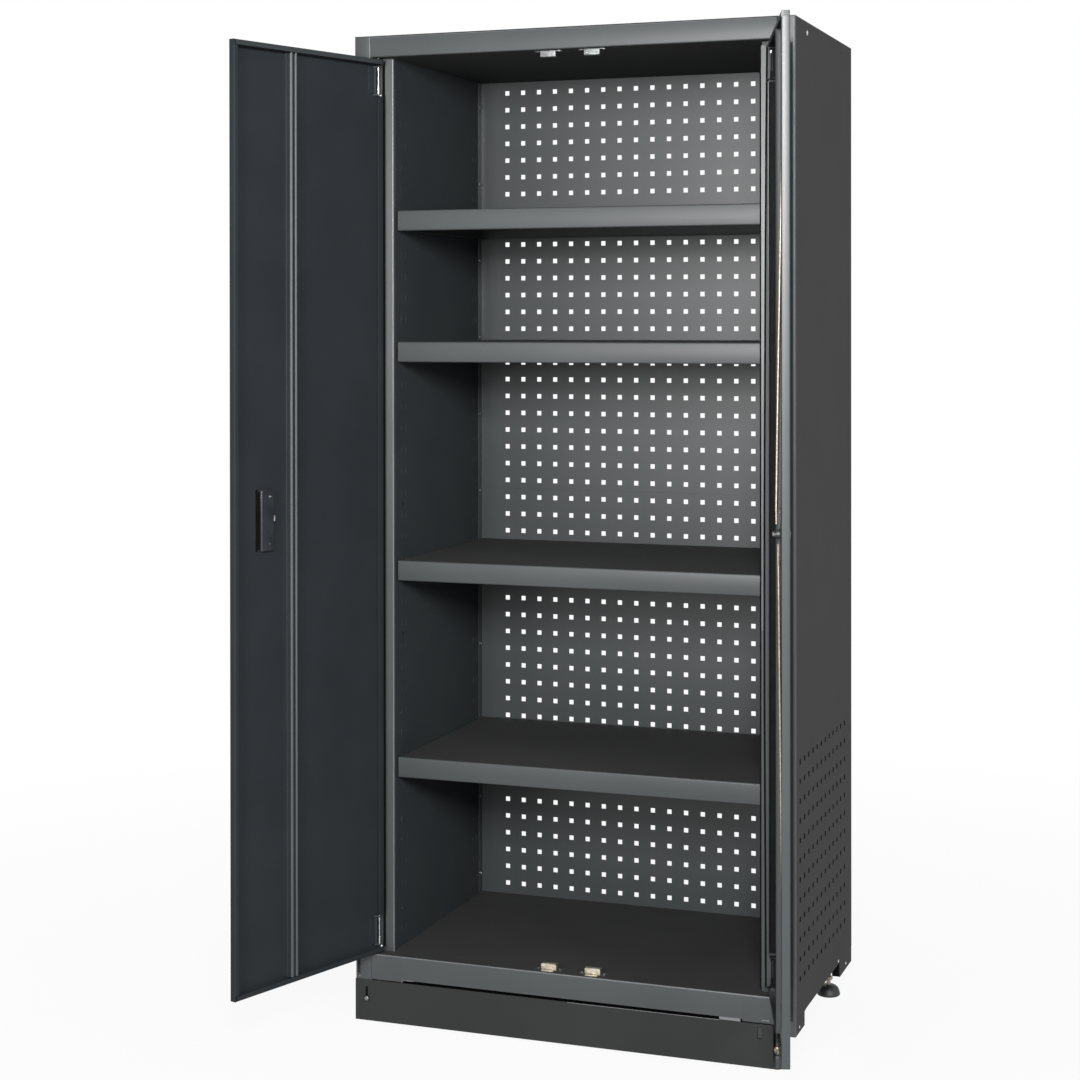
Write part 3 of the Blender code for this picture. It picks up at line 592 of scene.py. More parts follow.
def makeShelves():
    s = shelf
    depth = (s.front + s.strip, s.rear - s.strip)
    near, far = s.half - sheet, carcass.innerHalf - gap
    for number, top in enumerate(s.levels, 1):
        low = top - s.lip
        hookTop = top - s.hookDrop
        hookLow = hookTop - s.hookHeight
        bm = blocks(((-s.half + s.strip, s.half - s.strip), depth, (top - sheet, top)))
        frontFold = [(s.front + s.strip, top), (s.front, top), (s.front, low), (s.front + s.hem, low)]
        rearFold = [(s.rear - s.hem, low), (s.rear, low), (s.rear, top), (s.rear - s.strip, top)]
        sideFold = [(s.half - s.hem, low), (s.half, low), (s.half, top), (s.half - s.strip, top)]
        hook = [(near, hookLow), (near, hookTop), (far, hookTop), (far, hookLow)]
        for fold in (frontFold, rearFold):
            addFold(bm, fold, (-s.half, s.half), acrossFront, s.bend)
        for side in (-1, 1):
            def alongSide(a, b, y):
                return side * a, y, b

            addFold(bm, sideFold, depth, alongSide, s.bend)
            for y in s.hookRows:
                addFold(bm, hook, around(y, s.hookWidth / 2), alongSide, s.hookBend, s.hookSheet)
        makePiece(f"shelfPan_{number}", bm, coat, nodes=(f"shelf_{number}",), others=((matCoat, isLevel),))


# Black sockets behind the rod holes, which show painted shade in them, the strip behind the joint of the
# back sheets, and black strips painted as the shadows on the stops
backing = named(dict(
    outer=0.0056, inner=0.0047, deep=0.024, wall=0.0010, bore=0.0003, stripHalf=0.006, strip=0.0008,
    seal=0.0006, sealHalf={-1: 0.0029, 1: 0.0018}, trimX=(0.3832, 0.3862), trimLow=0.840,
    sealPath={-1: ((0.150, -0.4083), (1.970, -0.4083)),
              1: ((0.150, 0.3945), (0.357, 0.3938), (0.700, 0.3921), (0.840, 0.3921), (1.090, 0.3923),
                  (1.475, 0.3941), (1.780, 0.3958), (1.968, 0.3979))}))


def makeBacking():
    k = backing
    bm = bmesh.new()
    for level, away in ((carcass.ceiling + sheet + gap, 1), (carcass.floor - sheet - gap, -1)):
        end = level + away * k.deep
        inside = end - away * k.wall
        addTurned(bm, ((k.outer, level), (k.outer, end), (k.bore, end), (k.bore, inside), (k.inner, inside),
                       (k.inner, level)), "z", (rails.rodX, rails.rodY), closed=True)
    makePiece("rodSockets", bm, shadeBlack)
    low, high = [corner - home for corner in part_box("back_panel_lower")]
    joint = ((low.x, high.x), (high.y, high.y + k.strip), around(high.z, k.stripHalf))
    makePiece("backJointStrip", blocks(joint), coat)
    front, rear = carcass.rabbet - k.seal, carcass.rabbet - hair

    def section(left, right, z):
        return [(left, front, z), (right, front, z), (right, rear, z), (left, rear, z)]

    for label, side in sides:
        # a black strip painted as the shadow on each stop, and on the right a painted shade line beside the
        # post's lip
        half, path = k.sealHalf[side], k.sealPath[side]
        bm = bmesh.new()
        addRings(bm, [section(*around(x, half), z) for z, x in path])
        if side > 0:
            addBlock(bm, k.trimX, (front, rear), (path[0][0], path[-1][0]))
        makePiece(f"stopSeal_{label}", bm, shadeBlack)
    # painted highlight: the right post's lip beside the painted shadow takes a lighter coat in its upper
    # part and the plain coat below
    bm = bmesh.new()
    addRings(bm, [section(k.trimX[1], x - k.sealHalf[1], z) for z, x in k.sealPath[1]])
    makePiece("stopHighlight_right", bm, highlightLipCoat, others=((coat, lambda face: face.center.z < k.trimLow),))


makePosts()
makeBacking()
makeSidePanels()
makeInnerWalls()
makeRails()
makeShelves()
dressNode("top_cover", "topCover", coat, carcass.coverEdge)
print("carcass and shelves built")


# Doors. s runs from the hinge pin towards the free edge, n from the outer face inwards.
door = named(dict(
    axisX=0.411, axisY=0.009, skin=0.009, edge=0.0085, reach=0.409, bottom=0.145, top=1.973, depth=0.015,
    hem=0.010, strip=0.004, notch=0.011, bend=0.0010, open={-1: 108.4, 1: 106.8},
    hingeLevels=(1.929, 0.189), hingeNotch=0.033, rodSlot=0.0045, rodSlotN=(0.0018, 0.0108),
    hemFace=0.0005, outerFace=0.0004, foam=0.0030, foamThick=0.0010, foamInset=0.002, liner=0.0007,
    linerInset=0.0002, linerX=0.005))
cup = named(dict(
    offset=0.318, level=1.053, halfWidth=0.018, halfHeight=0.060, depth=0.0115, wall=0.0016,
    floorShare=0.6, ease=0.003, rim=((-0.0006, -0.0019), (0.0018, -0.0019)), bezel=0.003,
    bezelHigh=0.0009, corner=0.006, leastCorner=0.002, round=0.0035, roundSteps=4, gasket=0.0055,
    gasketHigh=0.0016, screw=0.0455, screwInset=0.005, screwHead=(0.0028, 0.0016)))
lock = named(dict(offset=0.2835, level=1.057, barrel=0.0088, cell=0.012))


def doorStand(side):
    turn = Matrix.Rotation(side * radians(door.open[side]), 4, "Z")
    return Matrix.Translation(home + Vector((side * door.axisX, door.axisY, 0.0))) @ turn


def onDoor(side):
    return lambda s, n, z: (-side * s, n - door.skin, z)


def makeDoorPiece(side, name, bm, finish, nodes=(), others=()):
    body = "right_door" if side > 0 else "left_door"
    makePiece(name, bm, finish, body, nodes, doorStand(side), others=others)


def makeDoor(label, side):
    d = door
    at = onDoor(side)

    def level(a, b, along):
        return at(along, b, a)

    low, high = -d.edge + d.strip, d.reach - d.strip
    bottom, top = d.bottom + d.strip, d.top - d.strip
    window, tall = around(cup.offset, cup.halfWidth), around(cup.level, cup.halfHeight)
    lockLines, lockTall = around(lock.offset, lock.cell), around(lock.level, lock.cell)
    s = sorted([low, high] + window + lockLines)
    z = sorted([bottom, top] + tall + lockTall)

    def keep(i, j):
        return s[i] < window[0] or s[i + 1] > window[1] or z[j] < tall[0] or z[j + 1] > tall[1]

    rounds = {(s.index(lockLines[0]), z.index(lockTall[0])): lock.barrel} if side > 0 else {}
    bm = bmesh.new()
    addCells(bm, s, z, (0.0, sheet), lambda u, v, w: at(u, w, v), keep, rounds)

    free = [(high, 0.0), (d.reach, 0.0), (d.reach, d.depth), (d.reach - d.hem, d.depth)]
    hung = [(d.hem - d.edge, d.depth), (-d.edge, d.depth), (-d.edge, 0.0), (low, 0.0)]
    ends = ((d.bottom, d.bottom + d.notch), (d.top - d.notch, d.top))
    addFold(bm, free, (ends[0][1], ends[1][0]), at, d.bend)
    for span in ends:
        addFold(bm, free[:3], span, at, d.bend)
        addFold(bm, hung[1:], span, at, d.bend)
    upper, lower = d.hingeLevels
    between = (lower + d.hingeNotch, upper - d.hingeNotch)
    addFold(bm, hung, between, at, d.bend)
    for pin in d.hingeLevels:
        addBlock(bm, (-d.edge, low), (0.0, sheet), around(pin, d.hingeNotch), at)
    topFold = [(top, 0.0), (d.top, 0.0), (d.top, d.depth), (d.top - d.hem, d.depth)]
    bottomFold = [(d.bottom + d.hem, d.depth), (d.bottom, d.depth), (d.bottom, 0.0), (bottom, 0.0)]
    # the right door's top and bottom edges have a slot each that lets a lock rod through
    slot = around(lock.offset, d.rodSlot)
    near, far = d.rodSlotN
    lips = (topFold[:2] + [(d.top, near)], [(d.top, far)] + topFold[2:],
            [(d.bottom, near)] + bottomFold[2:], bottomFold[:2] + [(d.bottom, far)])
    spans = ((low, slot[0]), (slot[1], high)) if side > 0 else ((low, high),)
    for fold in (topFold, bottomFold):
        for span in spans:
            addFold(bm, fold, span, level, d.bend)
    if side > 0:
        for fold in lips:
            addFold(bm, fold, slot, level, d.bend / 2)
    hemSide, outside = d.depth - d.skin - d.hemFace, d.outerFace - d.skin
    # painted shade: the left door's pan and the right door's inner faces take the door's shade coat; the
    # outer faces keep the plain coat, and the top hem the wall's shade coat, a step lighter
    makeDoorPiece(side, f"doorPan_{label}", bm, coat if side > 0 else shadedDoorCoat, (f"{label}_door_panel",),
                  ((coat, lambda face: face.normal.y < -facing and face.center.y < outside),
                   (shadedDoorCoat, lambda face: face.normal.y > facing),
                   (shadedWallCoat, lambda face: face.center.y > hemSide and face.center.z > top - d.hem)))
    # painted shade: a black strip behind the top hem that shows as a shadow line below it, and on the right
    # door a dark sheet down the inside of the hinge edge
    inner, hingeSide = d.depth - sheet, sheet - d.edge
    boxes = [((low + d.foamInset, high - d.foamInset), (inner - d.foamThick, inner - hair),
              (d.top - d.hem - d.foam, d.top - d.foamInset))]
    if side > 0:
        boxes.append(((hingeSide + hair, hingeSide + d.liner),
                      (sheet + d.linerInset, inner - d.linerInset), between))
    makeDoorPiece(side, f"doorShade_{label}", blocks(*boxes, place=at), shadeBlack,
                  others=((shadeDarkSteel, lambda face: side * face.center.x > d.linerX),))


# Hat-section stiffener spot-welded down the inside of each door
stiffener = named(dict(
    offset=0.249, half=0.0215, waist=0.0090, crest=0.0078, bottom=0.1558, top=1.9622, groove=0.0022,
    ridge=0.0014, ridgeHigh=0.0008, bend=0.0004))


def makeStiffener(label, side):
    t = stiffener
    crest, slope = door.depth - sheet, t.groove
    dip = crest - t.groove
    path = [(-t.half, seat), (-t.waist, seat), (-t.crest, crest), (-t.crest + t.ridge, crest),
            (-t.crest + t.ridge + slope, dip), (t.crest - slope - t.ridge - slope, dip),
            (t.crest - slope - t.ridge, crest), (t.crest - slope, crest), (t.crest, dip),
            (t.waist, seat), (t.half, seat)]
    bm = folded([(t.offset + a, b) for a, b in path], (t.bottom, t.top), onDoor(side), t.bend)
    low = crest - t.ridgeHigh - door.skin
    # the foot flats, and on the left door the walls facing the free edge, take the door's painted shade
    makeDoorPiece(side, f"doorStiffener_{label}", bm, smoothCoat, (f"{label}_door_stiffener",),
                  ((shadedDoorCoat, lambda face: face.normal.y > facing and face.center.y < low),
                   (shadedDoorCoat, lambda face: side < 0 and face.normal.x > facing)))


# Recessed pull: a bezel outside, a finger cup, and the moulded box that shows inside the door
def makeCup(label, side):
    c = cup
    at = onDoor(side)
    floor = c.depth - c.wall
    rows = [(-c.halfWidth * c.floorShare, floor), (-c.wall - c.ease, floor), (-c.wall, floor - c.ease),
            (-c.wall, 0.0), *c.rim, (c.bezel, -c.bezelHigh), (c.bezel, -gap), (0.0, -gap)]
    for k in range(c.roundSteps + 1):
        turn = pi / 2 * k / c.roundSteps
        rows.append((c.round * (cos(turn) - 1), c.depth + c.round * (sin(turn) - 1)))
    rings = []
    for grow, n in rows:
        corner = max(c.corner + grow, c.leastCorner)
        outline = roundedRectangle(c.halfWidth + grow, c.halfHeight + grow, corner)
        rings.append([at(c.offset + a, n, c.level + b) for a, b in outline])
    bm = bmesh.new()
    addRings(bm, rings)
    # the box's side towards the free edge is painted black as shade
    makeDoorPiece(side, f"handleCup_{label}", bm, blackAbs, (f"{label}_handle_cup",),
                  ((shadeBlack, lambda face: -side * face.normal.x > facing),))
    # a painted shadow: a black strip on the door beside the box's open side
    edge = c.offset + c.halfWidth + gap
    gasket = ((edge, edge + c.gasket), (sheet + hair, c.gasketHigh), around(c.level, c.halfHeight))
    makeDoorPiece(side, f"handleShadow_{label}", blocks(gasket, place=at), shadeBlack)
    # the two screws are alike; the lower one is painted black as shade
    for name, z, finish in (("Upper", c.screw, dullZinc), ("Lower", -c.screw, blackRubber)):
        bm = bmesh.new()
        addScrew(bm, at(c.offset - c.screwInset, c.depth, c.level + z), (0, 1, 0), *c.screwHead)
        makeDoorPiece(side, f"handleScrew{name}_{label}", bm, finish)


for label, side in sides:
    makeDoor(label, side)
    makeStiffener(label, side)
    makeCup(label, side)
print("doors built")


# Hinges hidden in the rabbet: a coated bracket and leaf, and a pin between two bushes; on the right door
# they are painted in shade
hinge = named(dict(
    half=0.030, wallX=(0.4215, 0.4242), wallY=(0.004, 0.0285), lugX=(0.4072, 0.4215),
    lugY=(0.0050, 0.0130), lug=0.003, soft=0.0004, leafEdge=0.0215, leafFoot=0.0055, leafEye=0.0030,
    leafHigh=0.0062, leafHalf=0.026, leaf=0.002, leafBend=0.0010, pin=0.0014, bush=0.0024,
    upperBush=0.009, lowerBush=0.0165, tip=0.0016, tipHigh=0.0010, sleeveDrop=0.0004,
    pivot=(1.9733, 1.9757), pivotShares=(0.8, 0.6), pivotEase=(0.0006, 0.0008), stud=(0.405, 0.0060),
    studDrop=0.0305, studHead=(0.0024, 0.0014)))


def makeHinges(label, side):
    h = hinge
    bright = bmesh.new()
    shown = bmesh.new() if side > 0 else bright
    axis = (side * door.axisX, door.axisY)
    for row, level in zip(("top", "bottom"), door.hingeLevels):
        low, high = around(level, h.half)
        boxes = [(mirrored(side, h.wallX), h.wallY, (low, high))]
        for z in ((low, low + h.lug), (high - h.lug, high)):
            boxes.append((mirrored(side, h.lugX), h.lugY, z))
        end = f"{label}_{row}"
        bracket = makePiece(f"hingeBracket_{end}", blocks(*boxes), coat if side < 0 else shadeDarkSteel,
                            nodes=(f"hinge_bracket_{end}",))
        softenEdges(bracket, h.soft)
        # the left leaf takes the door's painted shade and a painted highlight on its cut edge; the right
        # leaf is painted in shade
        path = [(h.leafEye, h.leafHigh), (h.leafFoot, seat), (h.leafEdge, seat)]
        leaf = folded(path, around(level, h.leafHalf), onDoor(side), h.leafBend, h.leaf)
        makeDoorPiece(side, f"hingeLeaf_{end}", leaf, shadedDoorCoat if side < 0 else shadeDarkSteel,
                      (f"hinge_leaf_{end}",),
                      ((dullZinc, lambda face: side < 0 and face.normal.x > facing),))
        lowEnd, highEnd = low + h.lowerBush, high - h.upperBush
        addTurned(shown, ((h.tip, low - h.tipHigh), (h.bush, low), (h.bush, lowEnd), (h.pin, lowEnd),
                          (h.pin, highEnd), (h.bush, highEnd), (h.bush, high), (h.tip, high + h.tipHigh)),
                  "z", axis)
        # a plated sleeve on the right top hinge: a painted highlight where the shaded pin catches the light
        if side > 0 and row == "top":
            sleeve = h.bush + gap
            addTurned(bright, ((sleeve, highEnd), (sleeve, high - h.sleeveDrop)), "z", axis)
        addScrew(shown, (side * h.stud[0], h.stud[1], level - h.studDrop), (0, -1, 0), *h.studHead)
    (low, high), (lowShare, highShare), (lowEase, highEase) = h.pivot, h.pivotShares, h.pivotEase
    addTurned(bright, ((h.pin * lowShare, low), (h.pin, low + lowEase), (h.pin, high - highEase),
                       (h.pin * highShare, high)), "z", axis)
    makePiece(f"hingePins_{label}", bright, brightZinc)
    if side > 0:
        makePiece("hingePins_painted", shown, shadeDarkSteel)


# Spring clip that grips the left cup: a foot on the door and a rolled end
clip = named(dict(
    foot=0.012, stand=0.001, high=0.0062, bend=0.0008, roll=0.0030, rollEnd=0.0024, rollEase=0.0006,
    rollAt=(0.2985, 0.0085), half=0.006, lift=0.0027))


def makeClip():
    k = clip
    at = onDoor(-1)
    edge = cup.offset - cup.halfWidth - gap
    low, high = [level + k.lift for level in around(cup.level, k.half)]
    path = [(edge - k.foot, seat), (edge - k.stand, seat), (edge - k.stand, k.high)]
    bm = folded(path, (low, high), at, k.bend)
    addTurned(bm, ((k.rollEnd, low), (k.roll, low + k.rollEase), (k.roll, high - k.rollEase),
                   (k.rollEnd, high)), "z", at(*k.rollAt, 0.0)[:2])
    makeDoorPiece(-1, "handleClip", bm, dullZinc, ("left_handle_clip",))


for label, side in sides:
    makeHinges(label, side)
makeClip()

# Rod lock on the right door; a rod's path is a row of (z, n).
# The rods bow outwards from the cam, through a low guide each, to the door's ends.
for node, name, edge in (("lock_barrel", "lockBarrel", 0.0005), ("lock_spindle", "lockSpindle", 0.0004),
                         ("lock_cam_nut", "lockCamNut", 0.0004)):
    dressNode(node, name, agedZinc, edge)
rod = named(dict(
    radius=0.0027, corners=16, steps=6, tipShare=0.6, tipReach=0.03, flat=0.0010, flatHalf=0.0032,
    guideInset=0.060, guideWall=0.0012, guideHalf=0.007, guideFoot=0.006, guideBend=0.0006, guideN=0.0050,
    paths={"upper": ((1.075, 0.0168), (1.099, 0.0164), (1.300, 0.0135), (1.520, 0.0098),
                     (1.720, 0.0064), (1.860, 0.0045), (1.925, 0.0043), (1.969, 0.0055)),
           "lower": ((1.039, 0.0136), (1.003, 0.0124), (0.800, 0.0104), (0.560, 0.0078),
                     (0.360, 0.0052), (0.240, 0.0043), (0.190, 0.0045), (0.149, 0.0070))}))


def curvePoint(points, i, share):
    # a smooth curve through the rod's points
    before, start, end, after = points[i - 1], points[i], points[i + 1], points[min(i + 2, len(points) - 1)]
    square, cube = share ** 2, share ** 3
    return 0.5 * (2 * start + (end - before) * share + (2 * before - 5 * start + 4 * end - after) * square
                  + (3 * start - before - 3 * end + after) * cube)


def makeRods():
    r = rod
    at = onDoor(1)
    x = at(lock.offset, 0.0, 0.0)[0]
    circle = ring(r.radius, r.corners)
    wide, roof = r.radius + gap + r.guideWall, r.guideN + r.radius + gap + r.guideWall
    lie = [(wide + r.guideFoot, seat), (wide, seat), (wide, roof), (-wide, roof), (-wide, seat),
           (-wide - r.guideFoot, seat)]
    guide = [(lock.offset - a, n) for a, n in lie]
    for name, path in r.paths.items():
        points = [Vector((x, n - door.skin, z)) for z, n in path]
        tip = points[-1]
        rings = []
        for i in range(1, len(points)):
            for k in range(r.steps if i + 1 < len(points) else 1):
                here = curvePoint(points, i, k / r.steps) if k else points[i]
                rings.append([(here.x + a, here.y + b, here.z) for a, b in circle])
        end = tip.z + (tip.z - points[-2].z) * r.tipReach
        rings.append([(tip.x + a * r.tipShare, tip.y + b * r.tipShare, end) for a, b in circle])
        bm = bmesh.new()
        addRings(bm, rings)
        addBlock(bm, around(x, r.flatHalf), around(points[0].y, r.flat), sorted((points[0].z, points[1].z)))
        makePiece(f"{name}LockRod", bm, rodZinc, f"{name}_rod", (f"{name}_lock_rod",), doorStand(1))
        level = path[-1][0] + (r.guideInset if name == "lower" else -r.guideInset)
        bm = folded(guide, around(level, r.guideHalf), at, r.guideBend, -r.guideWall)
        makeDoorPiece(1, f"{name}RodGuide", bm, coat, (f"{name}_rod_guide",))


makeRods()

# Magnetic catches: a plated housing with two poles, on an eared base
catch = named(dict(
    offset=0.046, half=0.0165, ear=0.0135, height=0.0125, plate=0.0012, front=0.0156, depth=0.0135,
    plateCorner=0.005, caseInset=0.0008, caseCorner=0.0015, chamfer=0.0012, tab=0.0125,
    tabY=(0.0070, 0.0128), poleOffset=0.0100, poleDeep=0.0009, poleShare=0.55, pole=(0.0018, 0.0012),
    screwOut=0.0065, screw=(0.0031, 0.0013)))


def makeCatches():
    k = catch
    middle = k.front + k.depth / 2
    base = roundedRectangle(k.half + k.ear, k.depth / 2, k.plateCorner)
    for row, level, down, caseFinish, plateFinish, poleFinish in (
            ("top", carcass.ceiling - gap, -1, dullZinc, dullZinc, brightZinc),
            ("bottom", carcass.floor + gap, 1, paleZinc, coat, paleZinc)):
        face, tip = level + down * k.plate, level + down * k.height
        for label, side in sides:
            x, end = side * k.offset, f"{row}_{label}"
            case, plate, poles, screws = [bmesh.new() for _ in range(4)]
            rings = []
            for inset, z in ((0.0, face), (0.0, tip - down * k.chamfer), (k.chamfer, tip)):
                outline = roundedRectangle(k.half - inset, k.depth / 2 - k.caseInset - inset, k.caseCorner)
                rings.append([(x + a, middle + b, z) for a, b in outline])
            addRings(case, rings)
            if row == "bottom":
                addBlock(case, around(x, k.tab), k.tabY, (level, level + k.plate))
            addRings(plate, [[(x + a, middle + b, z) for a, b in base] for z in (level, face)])
            for way in (-1, 1):
                pole = (x + way * k.poleOffset, k.front + k.poleDeep, level + down * k.height * k.poleShare)
                addScrew(poles, pole, (0, -1, 0), *k.pole)
                addScrew(screws, (x + way * (k.half + k.screwOut), middle, face), (0, 0, down), *k.screw)
            makePiece(f"catchCase_{end}", case, caseFinish, nodes=(f"{row}_catch_{label}",))
            makePiece(f"catchPlate_{end}", plate, plateFinish)
            makePiece(f"catchPoles_{end}", poles, poleFinish)
            makePiece(f"catchScrews_{end}", screws, dullZinc)


makeCatches()
print("hinges, lock and catches built")


# Kick plate on keyholes
kick = named(dict(
    left=-0.460, right=0.416, bottom=0.005, top=0.0887, front=-0.0015, rear=-0.0003, flange=0.016,
    flangeBottom=0.071, skirt=0.004, soft=0.0004, keyInset=0.025, keyLevel=0.050, backing=0.009,
    backingZ=(0.042, 0.078), plug=0.0085, lug=((0.3862, 0.3942), (-0.0023, -0.0004), (0.0620, 0.0825)),
    shade=0.0012, proud=0.0002, screw=(0.0046, 0.0022), screwProud=0.0004, shank=0.0024, shankEnd=0.0010,
    slotEnd=-0.357, lip=0.0245, lipLevel=(0.0889, 0.0945), bareY=(-0.0004, -0.0001), cut=0.0006,
    cutEnd=0.0008, tag=((0.3945, 0.4080), (-0.0010, -0.0001), (0.0955, 0.0975)),
    stud=(-0.4511, 0.0, 0.0937), studHead=(0.0016, 0.0008), wornX=(0.3097, 0.3518), worn=0.0010))


def makeKickPlate():
    k = kick
    dressNode("kick_plate", "kickPlate", kickCoat, k.soft)
    flangeX, backY = (k.right - sheet, k.right), (k.rear + hair, k.rear + sheet)
    leftKey, rightKey = k.left + k.keyInset, k.right - k.keyInset
    # the flange at the right end, a plate and a plug behind the right keyhole, the lug in it
    bm = blocks((flangeX, (k.rear, k.rear + k.flange), (k.flangeBottom, k.top)),
                (flangeX, (k.rear, k.rear + k.skirt), (k.bottom, k.flangeBottom)),
                (around(rightKey, k.backing), backY, k.backingZ))
    addTurned(bm, ((k.plug, k.front - hair), (k.plug, k.rear)), "y", (rightKey, k.keyLevel), count=28)
    softenEdges(makePiece("kickPlateReturn", bm, kickCoat), k.soft)
    softenEdges(makePiece("kickPlateLug", blocks(k.lug), matCoat), k.soft)
    # painted shade: a black plate behind the left keyhole, and a painted shadow line round the lug
    (left, right), (_, rear), (low, high) = k.lug
    bm = blocks((around(leftKey, k.backing), backY, k.backingZ),
                ((left - k.shade, right), (k.front - k.proud, rear), (low - k.shade, high)))
    makePiece("kickPlateShade", bm, shadeBlack)
    bm = bmesh.new()
    under = k.front - k.screwProud
    addScrew(bm, (leftKey, under, k.keyLevel), (0, -1, 0), *k.screw)
    addTurned(bm, ((k.shank, under), (k.shank, k.shankEnd)), "y", (leftKey, k.keyLevel), count=16)
    makePiece("kickPlateScrew", bm, dullZinc, nodes=("kick_plate_screw",))
    # bare metal: the cut lip at the end of the finger slot, a tag on the rail and a rivet
    low, high = k.lipLevel
    bm = blocks(((k.slotEnd - k.cut, k.slotEnd + k.cutEnd), k.bareY, (low, high)),
                ((k.slotEnd, k.slotEnd + k.lip), k.bareY, around(high, k.cut)), k.tag)
    addScrew(bm, k.stud, (0, -1, 0), *k.studHead)
    makePiece("railBareEdges", bm, dullZinc)
    # painted highlight: pale lines at the other end of the slot and along the kick plate's top edge
    bm = blocks((k.wornX, k.bareY, (low, high)),
                ((0.0, k.wornX[0]), (k.front - k.proud, k.front), (k.top - k.worn, k.top)))
    makePiece("railHighlightLines", bm, highlightCoat)


# Levelling feet. Each row has its y, the pad's radius and height, and the nut's radius.
# Sole and nut are rings: a share of the radius and a level.
foot = named(dict(
    x=0.418, rows={"front": (0.024, 0.0125, 0.026, 0.0060), "rear": (0.495, 0.0245, 0.022, 0.0088)},
    sole=((0.55, 0.0008), (0.60, 0.0), (0.94, 0.0), (1.0, 0.0016), (1.0, 0.0048), (0.975, 0.006)),
    rim=0.006, shoulder=0.96, steps=5, neck=0.008, stem=0.005, stemTop=0.1177, pitch=0.0015,
    thread=0.0007, shank=0.0045, nutTurn=0.3,
    nut=((0.90, 0.032), (1.0, 0.033), (1.0, 0.039), (0.90, 0.040))))


def makeFeet():
    f = foot
    nutLow, nutHigh = f.nut[0][1], f.nut[-1][1]
    for row, (y, radius, height, nut) in f.rows.items():
        for label, side in sides:
            end, centre = f"{row}_{label}", (side * f.x, y)
            profile = [(radius * share, z) for share, z in f.sole]
            for k in range(1, f.steps + 1):
                turn = pi / 2 * k / f.steps
                profile.append((f.neck + (radius * f.shoulder - f.neck) * cos(turn),
                                f.rim + (height - f.rim) * sin(turn)))
            bm = bmesh.new()
            addTurned(bm, profile, "z", centre, count=40)
            makePiece(f"footPad_{end}", bm, blackRubber, f"foot_{end}", (f"foot_pad_{end}",), smooth=50)
            bm = bmesh.new()
            addThread(bm, centre, (nutHigh, f.stemTop), f.stem, f.pitch, f.thread)
            addTurned(bm, ((f.shank, height + gap), (f.shank, nutLow)), "z", centre)
            addRings(bm, [[(centre[0] + a, centre[1] + b, z) for a, b in ring(nut * share, 6, f.nutTurn)]
                          for share, z in f.nut])
            makePiece(f"footStem_{end}", bm, yellowZinc, f"foot_{end}", (f"foot_stem_{end}",))


# Front channel: a full plate over the feet, and a web with a hook only between them, all in black painted
# shade
channel = named(dict(
    outer=0.4585, inner=0.436, front=0.008, web=0.0315, rear=0.0935, top=0.0977, sheet=0.003, bend=0.002,
    hook=0.036, hookFront=0.0045, hookTop=0.066, hookEnd=0.402, skirtX=(0.392, 0.440),
    skirtY=(0.0400, 0.0410), skirtZ=(0.020, 0.0945), rearEdge=0.0008))
# black painted shade in the hollow low in each side: a floor and a block
cavity = {"floor": ((0.3885, 0.4585), (0.080, 0.465), (0.0985, 0.0995)),
          "block": ((0.4435, 0.4583), (0.4105, 0.4250), (0.0664, 0.0975))}


def makeBase():
    k = channel
    under = k.top - k.sheet
    plate = ((-k.outer, k.outer), (k.front, k.rear), (under, k.top))
    makePiece("footChannelPlate_front", blocks(plate), shadeBlack)
    hook = [(k.web, under), (k.web, k.hook), (k.hookFront, k.hook), (k.hookFront, k.hookTop)]
    bm = folded(hook, (-k.hookEnd, k.hookEnd), acrossFront, k.bend, -k.sheet)
    for side in (-1, 1):
        addBlock(bm, mirrored(side, (k.hookEnd, k.inner)), (k.web, k.web + k.sheet), (k.hook, under))
        addBlock(bm, mirrored(side, k.skirtX), k.skirtY, k.skirtZ)
    makePiece("footChannelHook_front", bm, shadeBlack, nodes=("front_foot_channel",))
    for label, side in sides:
        boxes = [(mirrored(side, x), y, z) for x, y, z in cavity.values()]
        makePiece(f"cavityShade_{label}", blocks(*boxes), shadeBlack)


# Small fasteners on the carcass, and black discs painted as shade in the upper holes of its sides
fasteners = named(dict(
    flangeX=0.3855, flangeY=0.5125, flangeTop=1.921, flangePitch=0.1735, flangeCount=11,
    flangeHead=(0.0036, 0.0016), topLevel=1.998, boltY=0.102, boltHead=(0.0050, 0.0016), plugY=0.429,
    plug=0.0028, plugHigh=0.0002, tabScrews=((0.032, 0.081), (0.470, 0.078), (0.395, 0.104)),
    tabHead=(0.0030, 0.0012)))


def makeFasteners():
    f = fasteners
    for label, side in sides:
        x = side * carcass.halfWidth
        bm = bmesh.new()
        for i in range(f.flangeCount):
            spot = (side * f.flangeX, f.flangeY, f.flangeTop - i * f.flangePitch)
            addScrew(bm, spot, (-side, 0, 0), *f.flangeHead)
        addScrew(bm, (x, f.boltY, f.topLevel), (side, 0, 0), *f.boltHead)
        for y, z in f.tabScrews:
            addScrew(bm, (x, y, z), (side, 0, 0), *f.tabHead)
        makePiece(f"carcassScrews_{label}", bm, brightZinc)
        bm = bmesh.new()
        outside = side * (carcass.halfWidth + f.plugHigh)
        addTurned(bm, ((f.plug, x), (f.plug, outside)), "x", (f.plugY, f.topLevel))
        makePiece(f"boltHoleShade_{label}", bm, shadeBlack)


makeKickPlate()
makeFeet()
dressNode("rear_foot_channel", "footChannel_rear", coat, channel.rearEdge)
makeBase()
makeFasteners()
print("base and fasteners built")

